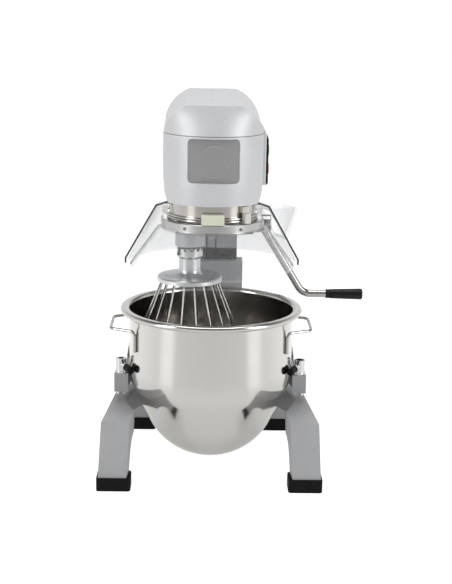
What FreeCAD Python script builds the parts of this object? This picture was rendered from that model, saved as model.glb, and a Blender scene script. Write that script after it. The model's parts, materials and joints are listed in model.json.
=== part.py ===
import FreeCAD, Part
import math
import os

# A bench planetary mixer of about ten litres, in millimetres.
# The origin is on the floor under the axis of the bowl. +Z is up, the front of the machine faces -Y,
# and the lift lever is on the +X side.

V = FreeCAD.Vector
Z_AXIS = V(0, 0, 1)

# ---------------------------------------------------------------- driving dimensions

# Bowl
BOWL_RADIUS = 133.0          # inside
BOWL_WALL = 1.2
BOWL_RIM_Z = 273.6
BOWL_BOTTOM = 21.0
BOTTOM_RADIUS = BOWL_RADIUS - 19.4   # the round bottom, up to BOTTOM_ANGLE from straight down
BOTTOM_ANGLE = 61.0
SLANT_TOP = 128.0            # height where the slanted stretch ends
SLANT_INSET = 11.0
RIM_ROLL = 4.5               # radius of the rolled edge
RIM_RADIUS = BOWL_RADIUS + 15.6
BOWL_OUTER = BOWL_RADIUS + BOWL_WALL

# Lift carriage and yoke
LIFT_TRAVEL = 58.0
YOKE_INNER = BOWL_RADIUS + 4.0
YOKE_OUTER = YOKE_INNER + 21.0
YOKE_BOTTOM = 131.0
YOKE_TOP = 162.0
YOKE_TIP_Y = -24.0
CARRIAGE_BOTTOM = 120.0
CARRIAGE_TOP = BOWL_RIM_Z + 42.4
CARRIAGE_CHEEK = 10.0        # how much wider the carriage is than the column, each side
WAY_CLEARANCE = 0.3

# Column and neck
COLUMN_HALF = 45.0
COLUMN_FRONT = YOKE_INNER + 33.0
COLUMN_BACK = COLUMN_FRONT + 95.0
COLUMN_WALL = 9.0
COLUMN_SIDE_WALL = 16.0
COLUMN_TOP = CARRIAGE_TOP + 21.0
COLUMN_CORNER = 6.0
COLUMN_BOLT_OUT = 10.0       # from the column's side to a bolt in its flange
GROOVE_DEPTH = 8.0
GROOVE_FRONT = COLUMN_FRONT + 14.0
GROOVE_WIDTH = 9.0
FLANGE_THICKNESS = 11.0
GLAND_Z = 150.0
GLAND_RADIUS = 7.0
GLAND_BORE = 4.5
CARRIAGE_HALF = COLUMN_HALF + CARRIAGE_CHEEK
CARRIAGE_FRONT = COLUMN_FRONT - 18.0

# Base and feet
FOOT_HEIGHT = 21.5
FOOT_WIDTH = 54.5
FOOT_DEPTH = 40.0
REAR_FOOT_DEPTH = 62.0
FOOT_OVERHANG = 3.6          # how far a foot stands out in front of its leg
BASE_TOP = 113.4
BEAM_THICKNESS = 38.0
BEAM_BOTTOM = BASE_TOP - BEAM_THICKNESS
BEAM_WIDTH = 45.0
FRONT_LEG_OUT = BOWL_RADIUS + 39.0   # outer face of the front leg at the top
FRONT_LEG_Y = 5.0 - BOWL_RADIUS      # front face of the front leg at the top
LEG_DEPTH = 32.0
LEG_SPLAY = 5.0              # how far a leg's foot stands outside its top
LEG_RAKE = 3.0               # how far a front leg's foot stands in front of its top
BEAM_TOE_IN = 0.083          # side beams close in towards the rear, mm per mm
REAR_LEG_Y = COLUMN_FRONT
REAR_LEG_DEPTH = 57.0
ARCH_RADIUS = 30.0
CROSS_FRONT = COLUMN_FRONT - 20.0
CROSS_BACK = COLUMN_BACK + 5.0
CROSS_BOTTOM = 55.0
BASE_WALL = 12.0
BASE_HOLLOW_HALF = COLUMN_HALF + 27.0

# Latches
LATCH_X = YOKE_INNER + 10.0
LATCH_Y = -13.0
LATCH_RADIUS = 9.0
LATCH_TOP = YOKE_TOP + 24.0
LATCH_END = (YOKE_INNER - 9.4, LATCH_Y - 47.0)   # the far end of the cap, seen from above
LATCH_ROD_RADIUS = 3.5
LATCH_CAP_RADIUS = 6.0
LATCH_CAP_LENGTH = 25.0
LATCH_REACH = 13.0           # how far the cam's lobe stands out from the latch's axis
LATCH_CLEARANCE = 0.4
LATCH_SPINDLE = 5.0

# Locating pins, and the bowl's lugs and handles
PIN_RADIUS = 4.0
PIN_X = YOKE_INNER + 12.0
PIN_Y = 17.0
PIN_SINK = 14.0
PIN_HEIGHT = 5.5
LUG_WIDTH = 30.0
LUG_FRONT = LATCH_Y + LATCH_REACH + LATCH_CLEARANCE
LUG_SHEET = 3.0
HANDLE_WIRE = 2.5
HANDLE_Z = BOWL_RIM_Z - 30.6
HANDLE_REACH = BOWL_RADIUS + 29.5
HANDLE_HALF = 40.0
HANDLE_LEG_Y = 61.0

# Rack, pinion and lever
RACK_MODULE = 2.0
LIFT_TEETH = 30
LIFT_PITCH_RADIUS = RACK_MODULE * LIFT_TEETH / 2
PIVOT_Y = COLUMN_FRONT + 18.0 + LIFT_PITCH_RADIUS
PIVOT_Z = COLUMN_TOP + 36.0
RACK_WIDTH = 14.0
SHAFT_RADIUS = 8.0
BUSH_WALL = 3.0
LEVER_HUB_RADIUS = SHAFT_RADIUS + 8.0
LEVER_HUB_X = COLUMN_HALF + 33.0
LEVER_HUB_LENGTH = 29.0
LEVER_ROD_RADIUS = 7.0
GRIP_START = LEVER_HUB_X + 130.5
GRIP_END = GRIP_START + 67.0
LEVER_DROP = 128.0

# Gears
GEAR_MODULE = 2.0
RING_TEETH = 54
PLANET_TEETH = 18
GEAR_FACE = 14.0
GEAR_BACKLASH = 0.35
ECCENTRICITY = GEAR_MODULE * (RING_TEETH - PLANET_TEETH) / 2
AGITATOR = V(-ECCENTRICITY, 0, 0)

# Guard and neck heights
GUARD_BOTTOM = BOWL_RIM_Z + LIFT_TRAVEL + 9.4
NECK_TOP = GUARD_BOTTOM + 109.0

# Planetary head
COLLAR_RADIUS = GEAR_MODULE * RING_TEETH / 2 + 15.5
COLLAR_WALL = 3.0
COLLAR_BOTTOM = NECK_TOP - 28.5
CARRIER_BOTTOM = COLLAR_BOTTOM - 10.5
CARRIER_TOP = CARRIER_BOTTOM + 19.0
CARRIER_HUB_RADIUS = COLLAR_RADIUS - 15.5
RING_BOTTOM = CARRIER_TOP + 4.0
RUNNING_FIT = 0.05           # radial clearance of every shaft in its bearing
AGITATOR_RADIUS = 9.0
BEARING_BORE = AGITATOR_RADIUS + 5.0
BOSS_RADIUS = BEARING_BORE + 10.0
BOSS_BOTTOM = CARRIER_BOTTOM - 37.4
SPINDLE_RADIUS = 12.0
SPINDLE_BEARING = SPINDLE_RADIUS + 12.0

# Whisk
HUB_FIT = 0.08
HUB_TOP = BOSS_BOTTOM - 3.6
HUB_COLLAR_RADIUS = AGITATOR_RADIUS + 12.0
HUB_BODY_RADIUS = HUB_COLLAR_RADIUS - 3.5
PIN_CENTRE_Z = HUB_TOP - 8.0
CROSS_PIN_RADIUS = 3.0
SLOT_CLEARANCE = 0.3
DISC_RADIUS = 52.5
DISC_TOP = HUB_TOP - 46.0
DISC_THICKNESS = 8.0
SHAFT_BOTTOM = DISC_TOP + 9.0
WIRE_DIAMETER = 2.5
WIRE_LOOPS = 9
WIRE_GAP = 0.3
WIRE_BENDS = (110.0, 55.0, 60.0, 55.0, 110.0)   # radii of a loop's five bends
WHISK_WIDEST = BOWL_RADIUS - ECCENTRICITY - 9.0
WHISK_BOTTOM = BOWL_BOTTOM + 89.0
BAYONET_TURN = 35.0

# Guard
GUARD_RING_RADIUS = COLLAR_RADIUS + 13.5
GUARD_RING_WIDTH = 11.5
GUARD_RING_TOP = COLLAR_BOTTOM - 1.0
GUARD_RING_BOTTOM = GUARD_RING_TOP - 13.2
SHEET = 3.0
REAR_GUARD_RADIUS = BOWL_RADIUS + 9.0
FRONT_GUARD_RADIUS = BOWL_RADIUS + 0.3
GUARD_SCREW_ANGLES = (-122.0, -58.0, 62.0, 118.0)
SENSOR_ANGLE = -47.0
CHUTE_FROM = 12.0
CHUTE_TO = 34.0
CHUTE_LOW_Z = GUARD_BOTTOM + 37.0
CHUTE_TOP_Z = GUARD_BOTTOM + 91.0
CHUTE_TOP_RADIUS = REAR_GUARD_RADIUS + 1.0
REAR_SHOULDER = (COLLAR_RADIUS + 22.8, NECK_TOP - 10.5)
REAR_EAVES_Z = GUARD_BOTTOM + 11.0

# Head
HEAD_HEIGHT = 154.6
HOOD_HEIGHT = 46.6
HEAD_HALF = COLLAR_RADIUS + 10.5     # half of the head's width at the front
REAR_FLARE = 6.0             # how much wider the head is at the back, each side
HEAD_TOP = NECK_TOP + HEAD_HEIGHT
SEAM_Z = HEAD_TOP - HOOD_HEIGHT
HEAD_REAR = COLUMN_BACK + 41.0
NOSE_RADIUS = HEAD_HALF
NOSE_Y = -NOSE_RADIUS - 8.0
TOP_HALF = HEAD_HALF - 38.3
HEAD_WALL = 4.0
HOOD_GAP = 0.9               # the joint between the two hoods, and under them
SKIN_GAP = 0.15              # between curved skins that lie on each other
HOOD_SPLIT_Y = 75.0
BADGE_FACE_Y = NOSE_Y + 9.4
BADGE_THICKNESS = 2.0
BADGE_HALF = 39.2
BADGE_BOTTOM = SEAM_Z - 71.3
BADGE_TOP = SEAM_Z - 3.4
BADGE_CORNER = 7.0
BADGE_RING_RADIUS = 24.4
BADGE_RING_X = 1.0
BADGE_RING_Z = SEAM_Z - 38.3

# Drive train
MAIN_TEETH = 72
PINION_TEETH = 18
DRIVE_MODULE = 1.5
LAYSHAFT_Y = DRIVE_MODULE * (MAIN_TEETH + PINION_TEETH) / 2
LAYSHAFT_RADIUS = 8.0
LAYSHAFT_PULLEY_RADIUS = 50.0
MOTOR_Y = COLUMN_FRONT + 64.0
MOTOR_RADIUS = 57.0
MOTOR_CASE_WALL = 2.5
MOTOR_SHAFT_RADIUS = 7.0
MOTOR_PULLEY_RADIUS = 22.0
ROTOR_RADIUS = 30.0
SMALL_BEARING_WALL = 6.0     # between a layshaft's or motor's shaft and its bearing's outside
HOUSING_RADIUS = SPINDLE_BEARING + 10.0
PLATE_BOTTOM = NECK_TOP + 5.0
PLATE_TOP = PLATE_BOTTOM + 10.0
PLATE_HALF = COLUMN_HALF + 13.0
SCREW_RADIUS = 4.0
SCREW_HEAD_RADIUS = 6.5
SCREW_HEAD_SINK = 8.5
SCREW_GRIP = 16.0            # length of thread in the neck
MAIN_GEAR_BOTTOM = PLATE_TOP + 35.0
MAIN_GEAR_TOP = MAIN_GEAR_BOTTOM + 12.0
BELT_TOP = HEAD_TOP - 20.6
BELT_BOTTOM = BELT_TOP - 14.0
MOTOR_TOP = BELT_BOTTOM - 8.0
BRIDGE_BOTTOM = BELT_BOTTOM - 30.0
BRIDGE_HALF = DRIVE_MODULE * MAIN_TEETH / 2 + 2.0

# Control panel
PANEL_FACE_X = HEAD_HALF + 7.0
PANEL_FACE_THICKNESS = 1.6
PANEL_FRONT = 4.0
PANEL_LENGTH = 122.0
PANEL_BOTTOM = SEAM_Z - 85.0
PANEL_TOP = SEAM_Z - 8.0
WELL_DEPTH = 4.0
BUTTON_RADIUS = 9.0
BUTTON_GAP = 0.3
BUTTON_TRAVEL = 1.5
BUTTON_PITCH = 30.0


# ---------------------------------------------------------------- small helpers

def plan(z):
    """Places a drawing of x and y at height z."""
    return lambda x, y: V(x, y, z)


def front(y):
    """Places a drawing of x and z at depth y."""
    return lambda x, z: V(x, y, z)


def side(x):
    """Places a drawing of y and z at width x."""
    return lambda y, z: V(x, y, z)


def outline(place, start, *steps):
    """A closed wire. A step is a corner, or a pair: a point on an arc, and the arc's end."""
    edges = []
    here = start
    for step in steps + (start,):
        if isinstance(step[0], tuple):
            through, there = step
            edges.append(Part.Arc(place(*here), place(*through), place(*there)).toShape())
        else:
            there = step
            if math.dist(here, there) > 1e-6:
                edges.append(Part.makeLine(place(*here), place(*there)))
        here = there
    return Part.Wire(edges)


def prism(direction, place, start, *steps):
    """The outline's face, pushed along a vector."""
    return Part.Face(outline(place, start, *steps)).extrude(direction)


def turned(start, *steps, angle=360.0, start_angle=0.0):
    """A drawing of radius and height, turned about the Z axis."""
    face = Part.Face(outline(front(0), start, *steps))
    face.rotate(V(0, 0, 0), Z_AXIS, start_angle)
    return face.revolve(V(0, 0, 0), Z_AXIS, angle)


def box(low, high):
    size = [b - a for a, b in zip(low, high)]
    return Part.makeBox(size[0], size[1], size[2], V(*low))


def rod(radius, start, end):
    """A round bar from one point to another."""
    start, end = V(*start), V(*end)
    along = end - start
    return Part.makeCylinder(radius, along.Length, start, along)


def post(radius, bottom, top, x=0.0, y=0.0):
    """An upright round bar."""
    return rod(radius, (x, y, bottom), (x, y, top))


def ring(outer, inner, bottom, top, x=0.0, y=0.0):
    """An upright tube."""
    return post(outer, bottom, top, x, y).cut(post(inner, bottom - 1, top + 1, x, y))


def joined(*shapes):
    return shapes[0].fuse(list(shapes[1:])).removeSplitter()


def mirrored(shape):
    """The same shape on the other side of the machine."""
    return shape.mirror(V(0, 0, 0), V(1, 0, 0))


def spun(shape, angle, x=0.0, y=0.0):
    """A copy turned about an upright line."""
    copy = shape.copy()
    copy.rotate(V(x, y, 0), Z_AXIS, angle)
    return copy


def rounded(shape, radius, wanted):
    """Fillets the edges for which wanted(edge) is true."""
    return shape.makeFillet(radius, [edge for edge in shape.Edges if wanted(edge)])


def is_upright(edge):
    first, last = edge.Vertexes[0].Point, edge.Vertexes[-1].Point
    return abs(first.x - last.x) + abs(first.y - last.y) < 1e-3 < abs(first.z - last.z)


def is_at_height(z):
    return lambda edge: all(abs(vertex.Z - z) < 1e-3 for vertex in edge.Vertexes)


def sheet_outline(points, thickness):
    """The outline of a bent sheet: the given line, and the same line moved to its right-hand side."""
    normals = []
    for (x0, z0), (x1, z1) in zip(points, points[1:]):
        length = math.hypot(x1 - x0, z1 - z0)
        normals.append(((z1 - z0) / length, -(x1 - x0) / length))
    moved = []
    for index, (x, z) in enumerate(points):
        before = normals[max(index - 1, 0)]
        after = normals[min(index, len(normals) - 1)]
        share = thickness / (1 + before[0] * after[0] + before[1] * after[1])
        moved.append((x + (before[0] + after[0]) * share, z + (before[1] + after[1]) * share))
    return points + moved[::-1]


def bent_path(points, radii):
    """A path of straight runs joined by arcs. radii has one value for each inner point."""
    points = [V(*point) for point in points]
    edges = []
    here = points[0]
    for before, corner, after, radius in zip(points, points[1:], points[2:], radii):
        back = (before - corner).normalize()
        ahead = (after - corner).normalize()
        half = back.getAngle(ahead) / 2
        reach = radius / math.tan(half)
        middle = (back + ahead).normalize() * (radius / math.sin(half) - radius)
        edges.append(Part.makeLine(here, corner + back * reach))
        edges.append(Part.Arc(corner + back * reach, corner + middle, corner + ahead * reach).toShape())
        here = corner + ahead * reach
    edges.append(Part.makeLine(here, points[-1]))
    return Part.Wire(edges)


def wire_bar(radius, points, radii):
    """A round wire bent along a path."""
    path = bent_path(points, radii)
    tangent = V(*points[1]) - V(*points[0])
    circle = Part.Wire(Part.makeCircle(radius, V(*points[0]), tangent))
    return path.makePipeShell([circle], True, True)


def involute(angle):
    return math.tan(angle) - angle


def gear(module, teeth, bottom, top, phase, x=0.0, y=0.0, shrink=0.0, root_clearance=0.25, addendum=1.0):
    """A spur gear with one tooth centred on phase degrees. shrink thins each tooth at the pitch circle."""
    pressure = math.radians(20)
    pitch = module * teeth / 2
    base = pitch * math.cos(pressure)
    low = pitch - module * (1 + root_clearance)
    high = pitch + module * addendum
    half_at_pitch = (math.pi * module / 2 - shrink) / 2 / pitch

    def half_angle(radius):
        alpha = math.acos(min(1.0, base / max(radius, base)))
        return half_at_pitch + involute(pressure) - involute(alpha)

    flank = [(radius, half_angle(radius)) for radius in (low, pitch - module * 0.5, pitch, high)]
    corners = []
    for tooth in range(teeth):
        centre = math.radians(phase) + 2 * math.pi * tooth / teeth
        for radius, half in flank:
            corners.append((radius, centre - half))
        for radius, half in reversed(flank):
            corners.append((radius, centre + half))
    points = [V(x + r * math.cos(a), y + r * math.sin(a), bottom) for r, a in corners]
    return Part.Face(Part.makePolygon(points + points[:1])).extrude(V(0, 0, top - bottom))


def save(name, *solids):
    """Writes one node. Each solid that is given stays a separate solid."""
    shape = solids[0] if len(solids) == 1 else Part.makeCompound(list(solids))
    shape.exportStep("parts/" + name + ".step")


# ---------------------------------------------------------------- base and feet

def beam_outer(y):
    return FRONT_LEG_OUT - (y - FRONT_LEG_Y) * BEAM_TOE_IN


def side_beam():
    """The right side of the base: a beam with a front leg and a rear leg, closed in by the toe-in."""
    leg_back = FRONT_LEG_Y + LEG_DEPTH
    rear = REAR_LEG_Y + REAR_LEG_DEPTH
    soft = ARCH_RADIUS * (1 - math.sqrt(0.5))
    profile = prism(
        V(FRONT_LEG_OUT, 0, 0), side(FRONT_LEG_OUT / 2),
        (FRONT_LEG_Y - LEG_RAKE, FOOT_HEIGHT), (FRONT_LEG_Y, BASE_TOP), (rear, BASE_TOP), (rear, FOOT_HEIGHT),
        (REAR_LEG_Y, FOOT_HEIGHT), (REAR_LEG_Y, BEAM_BOTTOM - ARCH_RADIUS),
        ((REAR_LEG_Y - soft, BEAM_BOTTOM - soft), (REAR_LEG_Y - ARCH_RADIUS, BEAM_BOTTOM)),
        (leg_back + ARCH_RADIUS, BEAM_BOTTOM),
        ((leg_back + soft, BEAM_BOTTOM - soft), (leg_back, BEAM_BOTTOM - ARCH_RADIUS)),
        (leg_back - LEG_RAKE, FOOT_HEIGHT),
    )
    slices = []
    y0, y1 = FRONT_LEG_Y - 12, rear + 10
    for z, splay in ((FOOT_HEIGHT, LEG_SPLAY), (BASE_TOP, 0.0)):
        front_out, rear_out = beam_outer(y0) + splay, beam_outer(y1) + splay
        slices.append(outline(plan(z), (front_out, y0), (rear_out, y1),
                              (rear_out - BEAM_WIDTH, y1), (front_out - BEAM_WIDTH, y0)))
    return profile.common(Part.makeLoft(slices, True, True))


def base_casting():
    beam = side_beam()
    reach = beam_outer(CROSS_FRONT) - BEAM_WIDTH / 2
    cross = box((-reach + 8, CROSS_FRONT, CROSS_BOTTOM), (reach - 8, CROSS_BACK, BASE_TOP))
    body = joined(cross, beam, mirrored(beam))
    hollow = box((-BASE_HOLLOW_HALF, CROSS_FRONT + BASE_WALL, CROSS_BOTTOM - 1),
                 (BASE_HOLLOW_HALF, CROSS_BACK - BASE_WALL, BASE_TOP - BASE_WALL))
    body = body.cut([hollow, post(YOKE_INNER + 2, CROSS_BOTTOM - 40, BASE_TOP + 1)])
    body = rounded(body, 6.0, lambda e: is_upright(e) and e.Vertexes[0].Y > CROSS_BACK - 1)
    holes = [post(5.0, BASE_TOP - BASE_WALL - 1, BASE_TOP + 1, x, y) for x, y in column_bolts()]
    return body.cut(holes)


def foot(x, front_y, depth):
    """A rubber foot: a block with a slightly smaller tread."""
    low = box((x - FOOT_WIDTH / 2, front_y, 0), (x + FOOT_WIDTH / 2, front_y + depth, FOOT_HEIGHT))
    return rounded(low, 5.0, is_upright)


def feet():
    front_x = FRONT_LEG_OUT + LEG_SPLAY + 3 - FOOT_WIDTH / 2
    rear_x = beam_outer(REAR_LEG_Y) + LEG_SPLAY - 1 - FOOT_WIDTH / 2
    right = [foot(front_x, FRONT_LEG_Y - LEG_RAKE - FOOT_OVERHANG, FOOT_DEPTH),
             foot(rear_x, REAR_LEG_Y - FOOT_OVERHANG, REAR_FOOT_DEPTH)]
    return right + [mirrored(one) for one in right]


# ---------------------------------------------------------------- column and neck

def column_bolts():
    """Places of the four bolts through the column's flange."""
    rows = (GROOVE_FRONT + 26, COLUMN_BACK - 9)
    return [(sign * (COLUMN_HALF + COLUMN_BOLT_OUT), y) for sign in (-1, 1) for y in rows]


def column_section(bottom, top, slot_from):
    """The hollow column with a groove in each side and a slot in front for the rack."""
    height = V(0, 0, top - bottom)
    corner = COLUMN_CORNER
    soft = corner * (1 - math.sqrt(0.5))
    body = prism(height, plan(bottom), (-COLUMN_HALF, COLUMN_FRONT), (COLUMN_HALF, COLUMN_FRONT),
                 (COLUMN_HALF, COLUMN_BACK - corner),
                 ((COLUMN_HALF - soft, COLUMN_BACK - soft), (COLUMN_HALF - corner, COLUMN_BACK)),
                 (-COLUMN_HALF + corner, COLUMN_BACK),
                 ((-COLUMN_HALF + soft, COLUMN_BACK - soft), (-COLUMN_HALF, COLUMN_BACK - corner)))
    room = COLUMN_HALF - COLUMN_SIDE_WALL
    cuts = [box((-room, COLUMN_FRONT + COLUMN_WALL, bottom - 1), (room, COLUMN_BACK - COLUMN_WALL, top + 1))]
    if slot_from < top:
        half = RACK_WIDTH / 2 + 2
        cuts.append(box((-half, COLUMN_FRONT - 1, max(slot_from, bottom - 1)),
                        (half, COLUMN_FRONT + COLUMN_WALL + 1, top + 1)))
    for sign in (-1, 1):
        cuts.append(box((min(sign * (COLUMN_HALF - GROOVE_DEPTH), sign * (COLUMN_HALF + 1)),
                         GROOVE_FRONT, bottom - 1),
                        (max(sign * (COLUMN_HALF - GROOVE_DEPTH), sign * (COLUMN_HALF + 1)),
                         GROOVE_FRONT + GROOVE_WIDTH, top + 1)))
    return body.cut(cuts)


def column():
    half = COLUMN_HALF + COLUMN_BOLT_OUT + 9
    flange = box((-half, GROOVE_FRONT + GROOVE_WIDTH + 3, BASE_TOP),
                 (half, CROSS_BACK, BASE_TOP + FLANGE_THICKNESS))
    flange = rounded(flange, 6.0, is_upright)
    room = box((-COLUMN_HALF + COLUMN_SIDE_WALL, COLUMN_FRONT, BASE_TOP - 1),
               (COLUMN_HALF - COLUMN_SIDE_WALL, COLUMN_BACK - COLUMN_WALL, BASE_TOP + FLANGE_THICKNESS + 1))
    body = joined(column_section(BASE_TOP, COLUMN_TOP, CARRIAGE_BOTTOM + 105), flange.cut(room))
    holes = [post(5.0, BASE_TOP - 1, BASE_TOP + FLANGE_THICKNESS + 1, x, y) for x, y in column_bolts()]
    return body.cut(holes + [gland_hole()])


def neck_casting():
    body = column_section(COLUMN_TOP, NECK_TOP, COLUMN_TOP - 1)
    boss = rod(LEVER_HUB_RADIUS + 4, (COLUMN_HALF - 4, PIVOT_Y, PIVOT_Z), (LEVER_HUB_X - 3, PIVOT_Y, PIVOT_Z))
    bore = rod(SHAFT_RADIUS + BUSH_WALL, (-COLUMN_HALF - 1, PIVOT_Y, PIVOT_Z), (LEVER_HUB_X, PIVOT_Y, PIVOT_Z))
    room = box((-COLUMN_HALF + COLUMN_SIDE_WALL, COLUMN_FRONT + COLUMN_WALL, COLUMN_TOP),
               (COLUMN_HALF - COLUMN_SIDE_WALL, COLUMN_BACK - COLUMN_WALL, NECK_TOP))
    threads = [post(SCREW_RADIUS, NECK_TOP - SCREW_GRIP, NECK_TOP + 1, x, y) for x, y in neck_bolt_places()]
    return joined(body, boss).cut([bore, room] + threads)


def base_bolts():
    """Hexagon bolts that hold the column on the base."""
    bolts = []
    for x, y in column_bolts():
        corners = [(x + 8 * math.cos(math.radians(60 * k)), y + 8 * math.sin(math.radians(60 * k)))
                   for k in range(6)]
        head = prism(V(0, 0, 6.4), plan(BASE_TOP + FLANGE_THICKNESS), *corners)
        bolts.append(joined(head, post(5.0, BASE_TOP - BASE_WALL, BASE_TOP + FLANGE_THICKNESS + 1, x, y)))
    return bolts


def gland_hole():
    return rod(GLAND_RADIUS, (0, COLUMN_BACK - COLUMN_WALL - 1, GLAND_Z), (0, COLUMN_BACK + 1, GLAND_Z))


def cable_gland():
    """A screwed gland with a hexagon, a domed nut and a clear bore for the power cord."""
    y = COLUMN_BACK
    corners = [(11 * math.cos(math.radians(60 * k)), GLAND_Z + 11 * math.sin(math.radians(60 * k)))
               for k in range(6)]
    nut = prism(V(0, 7, 0), front(y), *corners)
    body = joined(nut, rod(8.5, (0, y + 6, GLAND_Z), (0, y + 18, GLAND_Z)),
                  rod(GLAND_RADIUS, (0, y - COLUMN_WALL, GLAND_Z), (0, y + 1, GLAND_Z)))
    return body.cut(rod(GLAND_BORE, (0, y - 20, GLAND_Z), (0, y + 20, GLAND_Z)))


# ---------------------------------------------------------------- lift carriage

def yoke_casting():
    """The carriage plate with its cheeks, and the half ring that carries the bowl."""
    inner_y = COLUMN_FRONT - WAY_CLEARANCE
    plate = box((-CARRIAGE_HALF, CARRIAGE_FRONT, CARRIAGE_BOTTOM), (CARRIAGE_HALF, inner_y, CARRIAGE_TOP))
    cheek = box((COLUMN_HALF + WAY_CLEARANCE, CARRIAGE_FRONT, CARRIAGE_BOTTOM + 8),
                (CARRIAGE_HALF, GROOVE_FRONT + GROOVE_WIDTH - 0.5, CARRIAGE_TOP))
    half_ring = ring(YOKE_OUTER, YOKE_INNER, YOKE_BOTTOM, YOKE_TOP).common(
        box((-200, 0, YOKE_BOTTOM), (200, 200, YOKE_TOP)))
    tip = box((YOKE_INNER - 4, YOKE_TIP_Y, YOKE_BOTTOM), (YOKE_OUTER, 0, YOKE_TOP))
    tip = tip.cut(post(YOKE_INNER, YOKE_BOTTOM - 1, YOKE_TOP + 1))
    half_ring = half_ring.cut(box((-COLUMN_HALF - 1, inner_y, YOKE_BOTTOM - 1),
                                  (COLUMN_HALF + 1, COLUMN_FRONT + 30, YOKE_TOP + 1)))
    body = joined(plate, cheek, mirrored(cheek), half_ring, tip, mirrored(tip))
    body = body.cut(post(YOKE_INNER, CARRIAGE_BOTTOM, YOKE_TOP + 1))
    top_edges = lambda e: is_at_height(CARRIAGE_TOP)(e) and all(v.Y < CARRIAGE_FRONT + 0.1 for v in e.Vertexes)
    body = rounded(body, 3.0, top_edges)
    holes = []
    for sign in (-1, 1):
        holes.append(post(LATCH_SPINDLE + RUNNING_FIT, YOKE_BOTTOM - 1, YOKE_TOP + 1, sign * LATCH_X, LATCH_Y))
        holes.append(post(PIN_RADIUS, YOKE_TOP - PIN_SINK, YOKE_TOP + 1, sign * PIN_X, PIN_Y))
    return body.cut(holes)


def locating_pins():
    """Two pins that stand in the yoke's arms and enter the bowl's lugs."""
    pins = []
    for sign in (-1, 1):
        pin = post(PIN_RADIUS, YOKE_TOP - PIN_SINK, YOKE_TOP + PIN_HEIGHT, sign * PIN_X, PIN_Y)
        pins.append(pin.makeChamfer(1.2, [e for e in pin.Edges if is_at_height(YOKE_TOP + PIN_HEIGHT)(e)]))
    return pins


def keeper_plates():
    """Two strips behind the guide ways that hold the carriage to the column."""
    strips = []
    for sign in (-1, 1):
        near, far = COLUMN_HALF - GROOVE_DEPTH + WAY_CLEARANCE, COLUMN_HALF + WAY_CLEARANCE
        strips.append(box((min(sign * near, sign * far), GROOVE_FRONT + WAY_CLEARANCE, CARRIAGE_BOTTOM + 8),
                          (max(sign * near, sign * far), GROOVE_FRONT + GROOVE_WIDTH - 0.5, CARRIAGE_TOP)))
    return strips


def lift_rack():
    """A rack behind the carriage plate; one tooth is level with the pinion's axis at rest."""
    pitch_y = PIVOT_Y - LIFT_PITCH_RADIUS
    pitch = math.pi * RACK_MODULE
    slope = math.tan(math.radians(20))
    tooth_half = pitch / 4 - GEAR_BACKLASH / 4
    top = PIVOT_Z + 11
    first = -int((LIFT_TRAVEL + 12) / pitch)
    root_y = pitch_y - 1.25 * RACK_MODULE
    tip_y = pitch_y + RACK_MODULE
    bar = box((-RACK_WIDTH / 2, COLUMN_FRONT - WAY_CLEARANCE, CARRIAGE_TOP - 80), (RACK_WIDTH / 2, root_y, top))
    teeth = []
    for index in range(first, 2):
        z = PIVOT_Z + index * pitch
        wide = tooth_half + (pitch_y - root_y) * slope
        thin = tooth_half - (tip_y - pitch_y) * slope
        teeth.append(prism(V(RACK_WIDTH, 0, 0), side(-RACK_WIDTH / 2),
                           (root_y - 0.5, z - wide), (root_y, z - wide), (tip_y, z - thin),
                           (tip_y, z + thin), (root_y, z + wide), (root_y - 0.5, z + wide)))
    return joined(bar, *teeth)


# ---------------------------------------------------------------- lever and pinion

def about_pivot(shape):
    """Turns a part drawn about the Z axis so that it lies on the lever's axis."""
    copy = shape.copy()
    copy.rotate(V(0, 0, 0), V(0, 1, 0), 90)
    copy.translate(V(0, PIVOT_Y, PIVOT_Z))
    return copy


def lift_pinion():
    half = RACK_WIDTH / 2
    gap_towards_rack = -90.0 + 180.0 / LIFT_TEETH
    wheel = gear(RACK_MODULE, LIFT_TEETH, -half, half, gap_towards_rack, shrink=GEAR_BACKLASH / 2)
    return about_pivot(wheel.cut(post(SHAFT_RADIUS, -half - 1, half + 1)))


def lever_shaft():
    return about_pivot(post(SHAFT_RADIUS, -COLUMN_HALF - 1, LEVER_HUB_X + LEVER_HUB_LENGTH - 4))


def lever_bushes():
    """Flanged bushes in the two walls of the neck."""
    inner = SHAFT_RADIUS + RUNNING_FIT
    outer = SHAFT_RADIUS + BUSH_WALL
    room = COLUMN_HALF - COLUMN_SIDE_WALL
    return [about_pivot(ring(outer, inner, -COLUMN_HALF, -room)),
            about_pivot(joined(ring(outer, inner, room, LEVER_HUB_X - 1),
                               ring(outer + 4, inner, LEVER_HUB_X - 3, LEVER_HUB_X - 1)))]


def lever_hub():
    hub = ring(LEVER_HUB_RADIUS, SHAFT_RADIUS, LEVER_HUB_X, LEVER_HUB_X + LEVER_HUB_LENGTH)
    hub = rounded(hub, 2.5, lambda e: abs(e.BoundBox.ZMax - LEVER_HUB_X - LEVER_HUB_LENGTH) < 1e-3
                  and e.BoundBox.ZLength < 1e-3 and e.BoundBox.XLength > 20)
    cap = post(SHAFT_RADIUS, LEVER_HUB_X + LEVER_HUB_LENGTH - 4, LEVER_HUB_X + LEVER_HUB_LENGTH)
    return about_pivot(joined(hub, cap))


def lever_points():
    """The rod's route: out of the hub, down beside the machine, then out to the grip."""
    elbow = (GRIP_START - 42, PIVOT_Y, PIVOT_Z - LEVER_DROP)
    return [(LEVER_HUB_X + 16, PIVOT_Y, PIVOT_Z - 10), elbow, (GRIP_START, PIVOT_Y, PIVOT_Z - LEVER_DROP)]


def lever_rod():
    body = wire_bar(LEVER_ROD_RADIUS, lever_points(), [26])
    return body.cut(about_pivot(post(LEVER_HUB_RADIUS, LEVER_HUB_X - 1, LEVER_HUB_X + LEVER_HUB_LENGTH)))


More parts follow.
